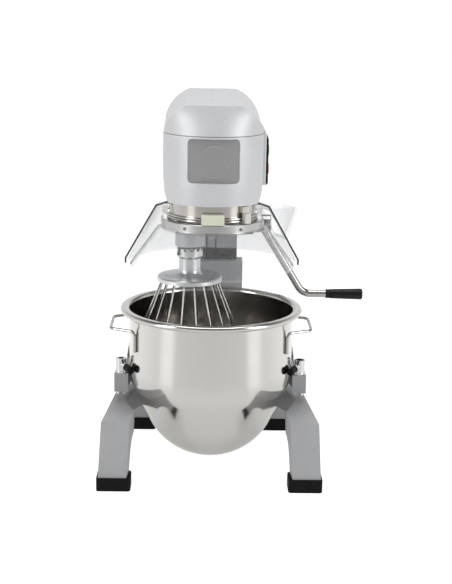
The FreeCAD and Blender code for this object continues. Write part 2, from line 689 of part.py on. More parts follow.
def lever_grip():
    """A plastic grip, thicker at its outer end."""
    z = PIVOT_Z - LEVER_DROP
    length = GRIP_END - GRIP_START
    grip = turned((0, 0), (7, 0), (8.2, 1.2), (8.2, 5), (9.2, 24), (10, length - 5),
                  ((8.54, length - 1.46), (5, length)), (0, length))
    grip.rotate(V(0, 0, 0), V(0, 1, 0), 90)
    grip.translate(V(GRIP_START, PIVOT_Y, z))
    return grip


# ---------------------------------------------------------------- bowl

def bowl_shell():
    """Spun bowl with a hollow rolled rim."""
    def profile(offset):
        """The wall's outer line moved inwards by offset: round bottom, slanted stretch, straight wall."""
        centre_z = BOWL_BOTTOM + BOTTOM_RADIUS
        radius = BOTTOM_RADIUS - offset
        half, end = math.radians(BOTTOM_ANGLE / 2), math.radians(BOTTOM_ANGLE)
        slant = (BOWL_OUTER - SLANT_INSET - offset, SLANT_TOP + offset * 0.4)
        soft = (BOWL_OUTER - SLANT_INSET * 0.27 - offset, SLANT_TOP + 22)
        return [(0, centre_z - radius),
                ((radius * math.sin(half), centre_z - radius * math.cos(half)),
                 (radius * math.sin(end), centre_z - radius * math.cos(end))),
                slant,
                (soft, (BOWL_OUTER - offset, SLANT_TOP + 46))]

    roll = RIM_ROLL
    centre_r = RIM_RADIUS - roll
    centre_z = BOWL_RIM_Z - roll
    corner = 6.0
    wall = BOWL_WALL
    outer = profile(0.0)
    inner = profile(wall)
    start = outer[0]
    steps = [outer[1], outer[2], outer[3]]
    # up the outer wall, under the roll's top and round to its free edge
    steps += [(BOWL_OUTER, BOWL_RIM_Z - corner),
              ((BOWL_OUTER + 0.29 * (corner - wall), BOWL_RIM_Z - wall - 0.29 * (corner - wall)),
               (BOWL_OUTER + corner - wall, BOWL_RIM_Z - wall)),
              (centre_r, BOWL_RIM_Z - wall),
              ((centre_r + roll - wall, centre_z), (centre_r, centre_z - roll + wall)),
              (BOWL_OUTER + 2.5, centre_z - roll + wall),
              (BOWL_OUTER + 2.5, centre_z - roll),
              (centre_r, centre_z - roll),
              ((RIM_RADIUS, centre_z), (centre_r, BOWL_RIM_Z)),
              (BOWL_RADIUS + corner, BOWL_RIM_Z),
              ((BOWL_RADIUS + 0.29 * corner, BOWL_RIM_Z - 0.29 * corner), (BOWL_RADIUS, BOWL_RIM_Z - corner))]
    # down the inner wall
    steps += [inner[3][1],
              (inner[3][0], inner[2]),
              (inner[1][1]),
              (inner[1][0], inner[0])]
    return turned(start, *steps)


def bowl_lug():
    """A bent plate welded to the wall, with a hole for the locating pin in its foot."""
    wall_x = BOWL_OUTER
    foot_z = YOKE_TOP
    plate = prism(V(0, LUG_WIDTH, 0), front(LUG_FRONT),
                  (wall_x - 4, foot_z + 47), (wall_x + 0.6, foot_z + 47), (wall_x + 3.2, foot_z + 34),
                  (wall_x + 5.0, foot_z + LUG_SHEET), (YOKE_OUTER - 1, foot_z + LUG_SHEET),
                  (YOKE_OUTER - 1, foot_z), (wall_x + 2.0, foot_z), (wall_x - 4, foot_z + 30))
    plate = plate.cut(post(BOWL_OUTER, foot_z - 1, foot_z + 60))
    return plate.cut(post(PIN_RADIUS + 0.3, foot_z - 1, foot_z + 10, PIN_X, PIN_Y))


def bowl_handle():
    """A wire loop whose two legs run down the wall."""
    leg_x = math.sqrt((BOWL_OUTER + HANDLE_WIRE) ** 2 - HANDLE_LEG_Y ** 2)
    half = [(leg_x, HANDLE_LEG_Y, HANDLE_Z - 34), (leg_x, HANDLE_LEG_Y, HANDLE_Z),
            (HANDLE_REACH, HANDLE_HALF, HANDLE_Z)]
    other = [(x, -y, z) for x, y, z in reversed(half)]
    loop = wire_bar(HANDLE_WIRE, half + other, [8, 12, 12, 8])
    return loop.cut(post(BOWL_OUTER, HANDLE_Z - 60, HANDLE_Z + 30))


# ---------------------------------------------------------------- latches

def latch_parts():
    """The right latch: a chrome barrel on a spindle, a rod and a rubber cap."""
    seat = YOKE_TOP + 0.3
    barrel = ring(LATCH_RADIUS, LATCH_SPINDLE, seat, LATCH_TOP, LATCH_X, LATCH_Y)
    floor = post(LATCH_SPINDLE + 1, seat, LATCH_TOP - 12, LATCH_X, LATCH_Y)
    flange = post(LATCH_RADIUS + 1.5, seat, seat + 2.3, LATCH_X, LATCH_Y)
    lobe_radius = LATCH_RADIUS + 0.5
    lobe = post(lobe_radius, seat, seat + 2.3, LATCH_X, LATCH_Y + LATCH_REACH - lobe_radius)
    spindle = post(LATCH_SPINDLE, YOKE_BOTTOM - 0.5, YOKE_TOP + 1, LATCH_X, LATCH_Y)
    corners = [(LATCH_X + 7.5 * math.cos(math.radians(60 * k)),
                LATCH_Y + 7.5 * math.sin(math.radians(60 * k)))
               for k in range(6)]
    nut = prism(V(0, 0, 5), plan(YOKE_BOTTOM - 5.5), *corners)
    body = joined(barrel, floor, flange, lobe, spindle, nut)
    start = V(LATCH_X, LATCH_Y, LATCH_TOP - 10)
    end = V(*LATCH_END, LATCH_TOP - 8.5)
    along = (end - start).normalize()
    bar = rod(LATCH_ROD_RADIUS, start, end - along * 4)
    bar = bar.cut(post(LATCH_RADIUS, YOKE_TOP, LATCH_TOP + 1, LATCH_X, LATCH_Y))
    cap_start = end - along * LATCH_CAP_LENGTH
    cap = rod(LATCH_CAP_RADIUS, cap_start, end)
    cap = rounded(cap, 1.8, lambda e: e.Closed)
    return body, bar, cap.cut(rod(LATCH_ROD_RADIUS, start, end - along * 4))


# ---------------------------------------------------------------- head

def head_section(y, inset, flare):
    """The cross-section of the head at depth y, drawn inset mm inside the outer skin."""
    t = inset
    wide = HEAD_HALF + flare - t
    top, bottom = HEAD_TOP - t, NECK_TOP + t
    shoulder = (HEAD_HALF - 17.5 + flare * 0.5 - t * 0.75, HEAD_TOP - 15.1 - t * 0.75)
    seam = (wide - 1.5, SEAM_Z)
    belly = (wide, SEAM_Z - HOOD_HEIGHT + 10.6)
    hip = (wide - 3, NECK_TOP + 24)
    turn = (wide - 5, NECK_TOP + 11)

    def left(point):
        return -point[0], point[1]

    return outline(front(y), (-TOP_HALF, top), (TOP_HALF, top),
                   (shoulder, seam), (belly, hip), (turn, (wide - 10, bottom)),
                   (-wide + 10, bottom), (left(turn), left(hip)), (left(belly), left(seam)),
                   (left(shoulder), (-TOP_HALF, top)))


def head_plan(z, inset, nose_y, nose_side):
    """The plan of the head at height z: a rounded nose and soft rear corners."""
    t = inset
    rear = HEAD_REAR - t
    wide = HEAD_HALF + 12 - t
    return outline(plan(z),
                   (-NOSE_RADIUS + t, nose_side), ((0, nose_y + t), (NOSE_RADIUS - t, nose_side)),
                   (wide, rear - 34), ((wide - 6, rear - 9), (wide - 30, rear)),
                   (-wide + 30, rear), ((-wide + 6, rear - 9), (-wide, rear - 34)))


def head_body(inset):
    """The lower and the upper part of the head, inset mm inside the outer skin."""
    skin = Part.makeLoft([head_section(NOSE_Y - 10, inset, 0.0),
                          head_section(HEAD_REAR + 10, inset, REAR_FLARE)], True, True)
    side_y = NOSE_Y + NOSE_RADIUS
    low = [head_plan(NECK_TOP - 1, inset, NOSE_Y + 4, side_y),
           head_plan(NECK_TOP + 30, inset, NOSE_Y, side_y)]
    middle = [head_plan(NECK_TOP + 30, inset, NOSE_Y, side_y), head_plan(SEAM_Z, inset, NOSE_Y, side_y)]
    high = [head_plan(SEAM_Z, inset, NOSE_Y, side_y),
            head_plan(HEAD_TOP + 2, inset, NOSE_Y + 17.5, NOSE_Y + 31)]
    lower = joined(Part.makeLoft(low, True, True), Part.makeLoft(middle, True, True)).common(skin)
    upper = Part.makeLoft(high, True, True).common(skin)
    return lower, upper


def badge_shape(margin, y_from, y_to):
    """A rounded rectangle a little larger than the plate by margin."""
    half = BADGE_HALF + margin
    block = box((-half, y_from, BADGE_BOTTOM - margin), (half, y_to, BADGE_TOP + margin))
    return rounded(block, BADGE_CORNER,
                   lambda e: e.BoundBox.YLength > 1e-3 and e.BoundBox.XLength + e.BoundBox.ZLength < 1e-3)


def head_parts():
    lower, upper = head_body(0.0)
    lower_in, upper_in = head_body(HEAD_WALL)
    slab = box((-200, -200, NECK_TOP - 5), (200, 400, NECK_TOP + 5))
    shell = lower.cut(lower_in.cut(slab))
    pocket_back = BADGE_FACE_Y + BADGE_THICKNESS
    pad = box((-BADGE_HALF - 6.8, pocket_back - 8, BADGE_BOTTOM - 7.7),
              (BADGE_HALF + 6.8, pocket_back + 3, SEAM_Z)).common(lower)
    shell = joined(shell, pad).cut(badge_shape(0.3, NOSE_Y - 5, pocket_back))
    # openings in the floor for the spindle housing, the layshaft and the column's inside
    openings = [post(HOUSING_RADIUS, NECK_TOP - 1, NECK_TOP + 6),
                box((-COLUMN_HALF + COLUMN_SIDE_WALL, COLUMN_FRONT + COLUMN_WALL, NECK_TOP - 1),
                    (COLUMN_HALF - COLUMN_SIDE_WALL, COLUMN_BACK - COLUMN_WALL, NECK_TOP + 6))]
    openings += [post(SCREW_RADIUS, NECK_TOP - 1, NECK_TOP + 6, x, y) for x, y in neck_bolt_places()]
    shell = shell.cut(openings)
    for row in range(7):
        z = NECK_TOP + 24 + row * 11
        shell = shell.cut(box((-45, HEAD_REAR - HEAD_WALL - 2, z), (45, HEAD_REAR + 2, z + 5)))
    hood = upper.cut(upper_in)
    high = SEAM_Z + HOOD_GAP
    front_half = hood.common(box((-200, -200, high), (200, HOOD_SPLIT_Y - HOOD_GAP / 2, HEAD_TOP + 2)))
    rear_half = hood.common(box((-200, HOOD_SPLIT_Y + HOOD_GAP / 2, high), (200, 400, HEAD_TOP + 2)))
    # an inner lip that carries the hood on the housing and closes the joints
    lip_out_low, lip_out_high = head_body(HEAD_WALL + SKIN_GAP)
    lip_in_low, lip_in_high = head_body(HEAD_WALL + 2.0)
    band = box((-200, -200, SEAM_Z - 8), (200, 400, SEAM_Z + 8))
    lip = joined(lip_out_low, lip_out_high).cut(joined(lip_in_low, lip_in_high)).common(band)
    lip = lip.cut(box((-BADGE_HALF - 8.8, NOSE_Y, SEAM_Z - 9),
                      (BADGE_HALF + 8.8, pocket_back + 3, SEAM_Z + 0.01)))
    bridge_box = box((-200, HOOD_SPLIT_Y - 8, SEAM_Z + 8), (200, HOOD_SPLIT_Y + 8, HEAD_TOP))
    bridge = lip_out_high.cut(lip_in_high).common(bridge_box)
    holes = [post(2.0, SEAM_Z, HEAD_TOP + 1, x, y) for x, y in cover_screw_places()]
    return shell, front_half.cut(holes), rear_half.cut(holes), joined(lip, bridge)


def cover_screw_places():
    return [(0.0, 23.0), (0.0, 200.0)]


def cover_screws():
    """Low round-headed screws on the top of the hood."""
    screws = []
    for x, y in cover_screw_places():
        head = post(4.2, HEAD_TOP, HEAD_TOP + 1.1, x, y)
        head = head.makeChamfer(0.6, [e for e in head.Edges if is_at_height(HEAD_TOP + 1.1)(e)])
        slot = box((x - 5, y - 0.5, HEAD_TOP + 0.5), (x + 5, y + 0.5, HEAD_TOP + 2))
        screws.append(joined(head.cut(slot), post(2.0, HEAD_TOP - HEAD_WALL, HEAD_TOP + 0.2, x, y)))
    return screws


def badge_plate():
    return badge_shape(0.0, BADGE_FACE_Y, BADGE_FACE_Y + BADGE_THICKNESS)


def badge_ring():
    x, y, z = BADGE_RING_X, BADGE_FACE_Y, BADGE_RING_Z
    outer = rod(BADGE_RING_RADIUS, (x, y - 0.5, z), (x, y, z))
    return outer.cut(rod(BADGE_RING_RADIUS - 1, (x, y - 1, z), (x, y + 1, z)))


# ---------------------------------------------------------------- control panel

def button_places():
    """Name, y and z of each button."""
    near, far = PANEL_FRONT + 22, PANEL_FRONT + 22 + BUTTON_PITCH
    low, high = PANEL_BOTTOM + 24, PANEL_BOTTOM + 24 + BUTTON_PITCH
    return [("start_button", near, high), ("stop_button", near, low),
            ("speed_up_button", far, high), ("speed_down_button", far, low)]


def panel_box(skin):
    """A bezel that stands on the side of the head, with its top edge sloping into the side."""
    y0, y1 = PANEL_FRONT, PANEL_FRONT + PANEL_LENGTH
    block = prism(V(0, y1 - y0, 0), front(y0),
                  (HEAD_HALF - 20, PANEL_BOTTOM), (PANEL_FACE_X, PANEL_BOTTOM), (PANEL_FACE_X, PANEL_TOP - 1),
                  ((PANEL_FACE_X - 2.2, PANEL_TOP + 6), (PANEL_FACE_X - 7, PANEL_TOP + 12)),
                  (HEAD_HALF - 20, PANEL_TOP + 12))
    block = rounded(block, 5.0, lambda e: is_upright(e) and e.Vertexes[0].X > HEAD_HALF)
    wells = [rod(BUTTON_RADIUS + BUTTON_GAP, (PANEL_FACE_X - WELL_DEPTH, y, z), (PANEL_FACE_X + 1, y, z))
             for _, y, z in button_places()]
    return block.cut(list(skin) + wells)


def panel_face():
    y0, y1 = PANEL_FRONT + 3, PANEL_FRONT + PANEL_LENGTH - 3
    x0 = PANEL_FACE_X
    plate = box((x0, y0, PANEL_BOTTOM + 1), (x0 + PANEL_FACE_THICKNESS, y1, PANEL_TOP - 2))
    plate = rounded(plate, 4.0, lambda e: e.BoundBox.XLength > 1e-3 and e.BoundBox.YLength < 1e-3
                    and e.BoundBox.ZLength < 1e-3)
    wells = [rod(BUTTON_RADIUS + BUTTON_GAP, (x0 - 1, y, z), (x0 + 5, y, z)) for _, y, z in button_places()]
    window_y = PANEL_FRONT + 72
    window = box((x0 - 1, window_y, PANEL_BOTTOM + 40), (x0 + 5, window_y + 38, PANEL_BOTTOM + 62))
    return plate.cut(wells + [window])


def display_window():
    x0 = PANEL_FACE_X
    y0 = PANEL_FRONT + 72
    return box((x0, y0, PANEL_BOTTOM + 40), (x0 + PANEL_FACE_THICKNESS - 0.3, y0 + 38, PANEL_BOTTOM + 62))


def button(y, z):
    """A round cap that moves 1.5 mm into its well."""
    x0 = PANEL_FACE_X - WELL_DEPTH + BUTTON_TRAVEL + BUTTON_GAP
    cap = rod(BUTTON_RADIUS, (x0, y, z), (PANEL_FACE_X + PANEL_FACE_THICKNESS + BUTTON_TRAVEL, y, z))
    return rounded(cap, 0.8, lambda e: e.Closed and e.BoundBox.XMin > PANEL_FACE_X)


# ---------------------------------------------------------------- planetary head

def steel_collar():
    """The polished skirt under the head, with a rolled double bead that the guard hangs on."""
    r = COLLAR_RADIUS
    z = COLLAR_BOTTOM
    return turned((r - COLLAR_WALL, z), (r + 2, z), ((r + 4.2, z + 2.15), (r + 2.4, z + 4.3)),
                  ((r + 4.2, z + 6.45), (r + 2, z + 8.6)), (r, z + 8.6), (r, NECK_TOP),
                  (r - COLLAR_WALL, NECK_TOP))


def ring_gear():
    outer = post(COLLAR_RADIUS - COLLAR_WALL, RING_BOTTOM, NECK_TOP)
    teeth = gear(GEAR_MODULE, RING_TEETH, RING_BOTTOM - 1, RING_BOTTOM + GEAR_FACE, 180.0,
                 shrink=-GEAR_BACKLASH, root_clearance=-0.1, addendum=1.3)
    chamber = post(GEAR_MODULE * RING_TEETH / 2 + 3, RING_BOTTOM + GEAR_FACE, NECK_TOP - 1.4)
    return outer.cut([teeth, chamber, post(HOUSING_RADIUS, RING_BOTTOM - 1, NECK_TOP + 1)])


def planet_carrier():
    """A disc that fills the collar, and under it a narrower hub with the boss of the agitator shaft."""
    disc = post(COLLAR_RADIUS - COLLAR_WALL - 1, COLLAR_BOTTOM, CARRIER_TOP)
    hub = post(CARRIER_HUB_RADIUS, CARRIER_BOTTOM, COLLAR_BOTTOM)
    boss = post(BOSS_RADIUS, BOSS_BOTTOM, CARRIER_BOTTOM + 1, AGITATOR.x, 0)
    boss = rounded(boss, 1.5, is_at_height(BOSS_BOTTOM))
    bores = [post(BEARING_BORE, BOSS_BOTTOM - 1, CARRIER_TOP + 1, AGITATOR.x, 0),
             post(SPINDLE_RADIUS, CARRIER_BOTTOM - 1, CARRIER_TOP + 1)]
    return [disc.cut(bores), joined(hub, boss).cut(bores)]


def agitator_bearings():
    """Two rings in the carrier's boss."""
    inner = AGITATOR_RADIUS + RUNNING_FIT
    return [ring(BEARING_BORE, inner, BOSS_BOTTOM + 2, BOSS_BOTTOM + 14, AGITATOR.x),
            ring(BEARING_BORE, inner, CARRIER_TOP - 12, CARRIER_TOP, AGITATOR.x)]


def spindle():
    """Main shaft: pressed into the carrier, carries the main gear above the frame plate."""
    return post(SPINDLE_RADIUS, CARRIER_BOTTOM, MAIN_GEAR_TOP + 6)


def agitator_shaft():
    shaft = post(AGITATOR_RADIUS, SHAFT_BOTTOM, RING_BOTTOM + GEAR_FACE, AGITATOR.x)
    return shaft.cut(cross_pin())


def cross_pin():
    reach = HUB_COLLAR_RADIUS - 1.5
    return rod(CROSS_PIN_RADIUS, (AGITATOR.x - reach, 0, PIN_CENTRE_Z), (AGITATOR.x + reach, 0, PIN_CENTRE_Z))


def planet_gear():
    wheel = gear(GEAR_MODULE, PLANET_TEETH, RING_BOTTOM + 0.5, RING_BOTTOM + GEAR_FACE - 0.5, 180.0, AGITATOR.x)
    return wheel.cut(post(AGITATOR_RADIUS, RING_BOTTOM - 1, RING_BOTTOM + GEAR_FACE + 1, AGITATOR.x))


# ---------------------------------------------------------------- whisk

def whisk_hub():
    """Cast hub with a wide disc; its collar has bayonet slots for the cross pin."""
    bore = AGITATOR_RADIUS + HUB_FIT
    hub = turned((bore, DISC_TOP - 1), (bore, HUB_TOP), (HUB_COLLAR_RADIUS, HUB_TOP),
                 (HUB_COLLAR_RADIUS, HUB_TOP - 13), (HUB_COLLAR_RADIUS - 1, HUB_TOP - 14),
                 (HUB_BODY_RADIUS, HUB_TOP - 17), (HUB_BODY_RADIUS, DISC_TOP + 10),
                 ((HUB_BODY_RADIUS + 2.4, DISC_TOP + 4.2), (HUB_BODY_RADIUS + 8, DISC_TOP + 1.5)),
                 (DISC_RADIUS - 2, DISC_TOP), (DISC_RADIUS, DISC_TOP - 2), (DISC_RADIUS, DISC_TOP - DISC_THICKNESS),
                 (DISC_RADIUS - 5, DISC_TOP - DISC_THICKNESS), (DISC_RADIUS - 6, DISC_TOP - DISC_THICKNESS + 3),
                 (0, DISC_TOP - DISC_THICKNESS + 3), (0, DISC_TOP - 1))
    cuts = []
    slot_half = CROSS_PIN_RADIUS + SLOT_CLEARANCE
    for side_angle in (0.0, 180.0):
        slot = turned((AGITATOR_RADIUS - 2, PIN_CENTRE_Z - slot_half),
                      (HUB_COLLAR_RADIUS + 2, PIN_CENTRE_Z - slot_half),
                      (HUB_COLLAR_RADIUS + 2, PIN_CENTRE_Z + slot_half),
                      (AGITATOR_RADIUS - 2, PIN_CENTRE_Z + slot_half),
                      angle=BAYONET_TURN, start_angle=side_angle)
        cuts.append(slot)
        for end in (0.0, BAYONET_TURN):
            cuts.append(spun(rod(slot_half, (0, 0, PIN_CENTRE_Z), (HUB_COLLAR_RADIUS + 2, 0, PIN_CENTRE_Z)),
                             side_angle + end))
        entry = box((0, -slot_half, PIN_CENTRE_Z), (HUB_COLLAR_RADIUS + 2, slot_half, HUB_TOP + 1))
        cuts.append(spun(entry, side_angle + BAYONET_TURN))
    notch = box((HUB_COLLAR_RADIUS - 5, -3, HUB_TOP - 3.5), (HUB_COLLAR_RADIUS + 2, 3, HUB_TOP + 1))
    for k in range(4):
        cuts.append(spun(notch, 70 + 30 * k))
        cuts.append(spun(notch, 250 + 30 * k))
    for k in range(2 * WIRE_LOOPS):
        cuts.append(wire_hole(k * 180.0 / WIRE_LOOPS))
    hub = hub.cut(cuts)
    hub.translate(AGITATOR)
    return hub


def leg_points(index):
    """One whisk loop: two legs that flare out of the disc and meet under the axis."""
    lift = index * (WIRE_DIAMETER + WIRE_GAP)
    top = DISC_TOP - 1.5
    half = [(DISC_RADIUS - 9.5, 0, top), (WHISK_WIDEST, 0, WHISK_BOTTOM + 98),
            (WHISK_WIDEST * 0.51, 0, WHISK_BOTTOM + 18 + lift), (0, 0, WHISK_BOTTOM + lift)]
    return half


def wire_hole(angle):
    """The hole in the disc that one leg stands in."""
    start, below = leg_points(0)[:2]
    direction = V(*below) - V(*start)
    bar = Part.makeCylinder(WIRE_DIAMETER / 2, 14, V(*start), direction)
    return spun(bar, angle)


def whisk_wires():
    loops = []
    for index in range(WIRE_LOOPS):
        half = leg_points(index)
        other = [(-x, y, z) for x, y, z in reversed(half[:-1])]
        loop = wire_bar(WIRE_DIAMETER / 2, half + other, WIRE_BENDS)
        loop.rotate(V(0, 0, 0), Z_AXIS, index * 180.0 / WIRE_LOOPS)
        loop.translate(AGITATOR)
        loops.append(loop)
    return loops


# ---------------------------------------------------------------- guards

def guard_ring():
    """Aluminium ring that turns under the collar; the front guard hangs from it."""
    body = ring(GUARD_RING_RADIUS, GUARD_RING_RADIUS - GUARD_RING_WIDTH, GUARD_RING_BOTTOM, GUARD_RING_TOP)
    body = body.makeChamfer(1.0, [e for e in body.Edges if is_at_height(GUARD_RING_TOP)(e)
                                  and e.BoundBox.XMax > GUARD_RING_RADIUS - 1])
    sockets = [spun(guard_screw(), angle) for angle in GUARD_SCREW_ANGLES]
    return body.cut(sockets)


def guard_screw():
    z = (GUARD_RING_TOP + GUARD_RING_BOTTOM) / 2 - 1
    return joined(rod(1.5, (GUARD_RING_RADIUS - 7, 0, z), (GUARD_RING_RADIUS, 0, z)),
                  rod(2.6, (GUARD_RING_RADIUS - 1, 0, z), (GUARD_RING_RADIUS + 0.8, 0, z)))


def glide_block(angle):
    """A nylon block on the ring, with a groove that runs on the collar's bead."""
    outer_y = GUARD_RING_RADIUS + 1.5
    inner = COLLAR_RADIUS + 0.5
    z0, z1 = GUARD_RING_TOP, COLLAR_BOTTOM + 15.5
    block = box((-18, -outer_y, z0), (18, -60, z1))
    groove = ring(COLLAR_RADIUS + 5.0, inner - 2, z0 - 1, COLLAR_BOTTOM + 9.1)
    block = block.cut([post(inner, z0 - 1, z1 + 1), groove])
    block = rounded(block, 1.5, lambda e: all(v.Y < -outer_y + 0.01 for v in e.Vertexes))
    return spun(block, angle)


def magnet_holder():
    """A small block on the ring below the sensor."""
    inner = COLLAR_RADIUS + 5.0
    block = box((inner - 1, -6, GUARD_RING_TOP), (GUARD_RING_RADIUS - 1, 6, COLLAR_BOTTOM + 15.0))
    return spun(block.cut(post(inner, GUARD_RING_TOP - 1, COLLAR_BOTTOM + 20)), SENSOR_ANGLE)


def guard_sensor():
    """A sensor housing fixed to the collar above the magnet holder."""
    block = box((COLLAR_RADIUS - 2, -6.5, COLLAR_BOTTOM + 16.0), (COLLAR_RADIUS + 7, 6.5, NECK_TOP - 3))
    return spun(block.cut(post(COLLAR_RADIUS, COLLAR_BOTTOM, NECK_TOP)), SENSOR_ANGLE)


def front_guard():
    """Clear half cone that turns with the ring."""
    top = GUARD_RING_BOTTOM
    line = [(GUARD_RING_RADIUS - GUARD_RING_WIDTH + 2, top), (GUARD_RING_RADIUS + 4.5, top),
            (FRONT_GUARD_RADIUS, GUARD_BOTTOM + 4), (FRONT_GUARD_RADIUS, GUARD_BOTTOM)]
    return turned(*sheet_outline(line, SHEET), angle=180, start_angle=180)


def guard_catch():
    """A small clear block under the flange of the front guard."""
    top = GUARD_RING_BOTTOM - SHEET
    return box((-6.8, -GUARD_RING_RADIUS - 1, top - 4.5), (6.8, -GUARD_RING_RADIUS + 8, top))


def cone_radius(z):
    """Outer radius of the rear guard's cone at height z."""
    share = (REAR_SHOULDER[1] - z) / (REAR_SHOULDER[1] - REAR_EAVES_Z)
    return REAR_SHOULDER[0] + share * (REAR_GUARD_RADIUS - REAR_SHOULDER[0])


def rear_guard():
    """Clear half cone fixed behind the collar, with a window for the chute."""
    line = [(COLLAR_RADIUS, NECK_TOP - 3), REAR_SHOULDER, (REAR_GUARD_RADIUS, REAR_EAVES_Z),
            (REAR_GUARD_RADIUS, GUARD_BOTTOM + 2)]
    body = turned(*sheet_outline(line, SHEET), angle=180)
    z0, z1 = CHUTE_LOW_Z + 6, CHUTE_TOP_Z - 5
    window = turned((cone_radius(z0) - 9, z0), (cone_radius(z0) + 9, z0), (cone_radius(z1) + 9, z1),
                    (cone_radius(z1) - 9, z1), angle=CHUTE_TO - CHUTE_FROM - 4, start_angle=CHUTE_FROM + 2)
    return body.cut([window, post(COLLAR_RADIUS, GUARD_BOTTOM, NECK_TOP)])


def feed_chute():
    """Open-topped clear chute over the window of the rear guard."""
    def wedge(grow, low, start_angle, end_angle, top):
        return turned((cone_radius(low) - 12, low), (cone_radius(low) + grow, low),
                      (CHUTE_TOP_RADIUS + (top - CHUTE_TOP_Z) * 0.3 + grow, top), (cone_radius(top) - 12, top),
                      angle=end_angle - start_angle, start_angle=start_angle)
    outer = wedge(0.0, CHUTE_LOW_Z, CHUTE_FROM, CHUTE_TO, CHUTE_TOP_Z)
    inner = wedge(-SHEET, CHUTE_LOW_Z + 3, CHUTE_FROM + 1.4, CHUTE_TO - 1.4, CHUTE_TOP_Z + 4)
    low, high = GUARD_BOTTOM - 11, NECK_TOP + 10
    cone = turned((0, low), (cone_radius(low), low), (cone_radius(high), high), (0, high))
    return outer.cut([inner, cone])


# ---------------------------------------------------------------- drive inside the head

def neck_bolt_places():
    return [(sign * (COLUMN_HALF - 8), y) for sign in (-1, 1) for y in (COLUMN_FRONT + 6, COLUMN_BACK - 7)]


def frame_plate():
    """Thick plate that joins the gearing, the motor and the neck."""
    plate = box((-PLATE_HALF, -HOUSING_RADIUS - 16, PLATE_BOTTOM), (PLATE_HALF, HEAD_REAR - 12, PLATE_TOP))
    plate = rounded(plate, 12.0, is_upright)
    holes = [post(HOUSING_RADIUS, PLATE_BOTTOM - 1, PLATE_TOP + 1),
             post(LAYSHAFT_RADIUS + SMALL_BEARING_WALL, PLATE_BOTTOM - 1, PLATE_TOP + 1, 0, LAYSHAFT_Y)]
    for x, y in neck_bolt_places():
        holes += [post(SCREW_RADIUS, PLATE_BOTTOM - 1, PLATE_TOP + 1, x, y),
                  post(SCREW_HEAD_RADIUS, PLATE_TOP - SCREW_HEAD_SINK, PLATE_TOP + 1, x, y)]
    return plate.cut(holes)


def neck_bolts():
    """Socket screws, sunk in the frame plate, that clamp it and the head to the neck."""
    screws = []
    for x, y in neck_bolt_places():
        socket = post(3.4, PLATE_TOP - 5, PLATE_TOP + 1, x, y)
        screws.append(joined(post(SCREW_HEAD_RADIUS, PLATE_TOP - SCREW_HEAD_SINK, PLATE_TOP - 0.5, x, y),
                             post(SCREW_RADIUS, NECK_TOP - SCREW_GRIP, PLATE_TOP - 8, x, y)).cut(socket))
    return screws


def spindle_housing():
    """Bearing tube through the frame plate, with a flange on top."""
    tube = ring(HOUSING_RADIUS, SPINDLE_BEARING, NECK_TOP - 2, PLATE_TOP + 20)
    flange = ring(HOUSING_RADIUS + 12, HOUSING_RADIUS - 2, PLATE_TOP, PLATE_TOP + 7)
    return joined(tube, flange)


def shaft_bearings():
    """Ball bearings drawn as plain rings: spindle, layshaft and motor shaft."""
    rings = [ring(SPINDLE_BEARING, SPINDLE_RADIUS + RUNNING_FIT, z, z + 11) for z in (NECK_TOP, PLATE_TOP + 8)]
    outer = LAYSHAFT_RADIUS + SMALL_BEARING_WALL
    for z0, z1 in ((PLATE_BOTTOM, PLATE_TOP), (BRIDGE_BOTTOM, BRIDGE_BOTTOM + 8)):
        rings.append(ring(outer, LAYSHAFT_RADIUS + RUNNING_FIT, z0, z1, 0, LAYSHAFT_Y))
    for z in (PLATE_TOP, MOTOR_TOP - 7):
        rings.append(ring(MOTOR_SHAFT_RADIUS + SMALL_BEARING_WALL, MOTOR_SHAFT_RADIUS + RUNNING_FIT, z, z + 7,
                          0, MOTOR_Y))
    return rings


def layshaft_bridge():
    """A bridge over the main gear that holds the upper bearing of the layshaft."""
    y0, y1 = LAYSHAFT_Y - 19, LAYSHAFT_Y + 19
    beam = box((-BRIDGE_HALF, y0, BRIDGE_BOTTOM), (BRIDGE_HALF, y1, BRIDGE_BOTTOM + 8))
    foot_x = BRIDGE_HALF - 4
    legs = [box((x - 4, y0, PLATE_TOP), (x + 4, y1, BRIDGE_BOTTOM + 1)) for x in (-foot_x, foot_x)]
    body = joined(beam, *legs)
    clear = post(DRIVE_MODULE * (MAIN_TEETH / 2 + 1) + 3, MAIN_GEAR_BOTTOM - 4, MAIN_GEAR_TOP + 4)
    return body.cut([clear, post(LAYSHAFT_RADIUS + SMALL_BEARING_WALL, BRIDGE_BOTTOM - 1, BRIDGE_BOTTOM + 9,
                                 0, LAYSHAFT_Y)])


def main_gear():
    wheel = gear(DRIVE_MODULE, MAIN_TEETH, MAIN_GEAR_BOTTOM, MAIN_GEAR_TOP, 90.0, shrink=GEAR_BACKLASH / 2)
    lightening = [spun(post(9, MAIN_GEAR_BOTTOM - 1, MAIN_GEAR_TOP + 1, 33, 0), 60 * k) for k in range(6)]
    return wheel.cut(lightening + [post(SPINDLE_RADIUS, MAIN_GEAR_BOTTOM - 1, MAIN_GEAR_TOP + 1)])


def drive_pinion():
    wheel = gear(DRIVE_MODULE, PINION_TEETH, MAIN_GEAR_BOTTOM - 1, MAIN_GEAR_TOP + 1, -90.0 + 180.0 / PINION_TEETH,
                 0, LAYSHAFT_Y, shrink=GEAR_BACKLASH / 2)
    return wheel.cut(post(LAYSHAFT_RADIUS, MAIN_GEAR_BOTTOM - 2, MAIN_GEAR_TOP + 2, 0, LAYSHAFT_Y))


def layshaft():
    return post(LAYSHAFT_RADIUS, PLATE_BOTTOM, BELT_TOP + 4, 0, LAYSHAFT_Y)


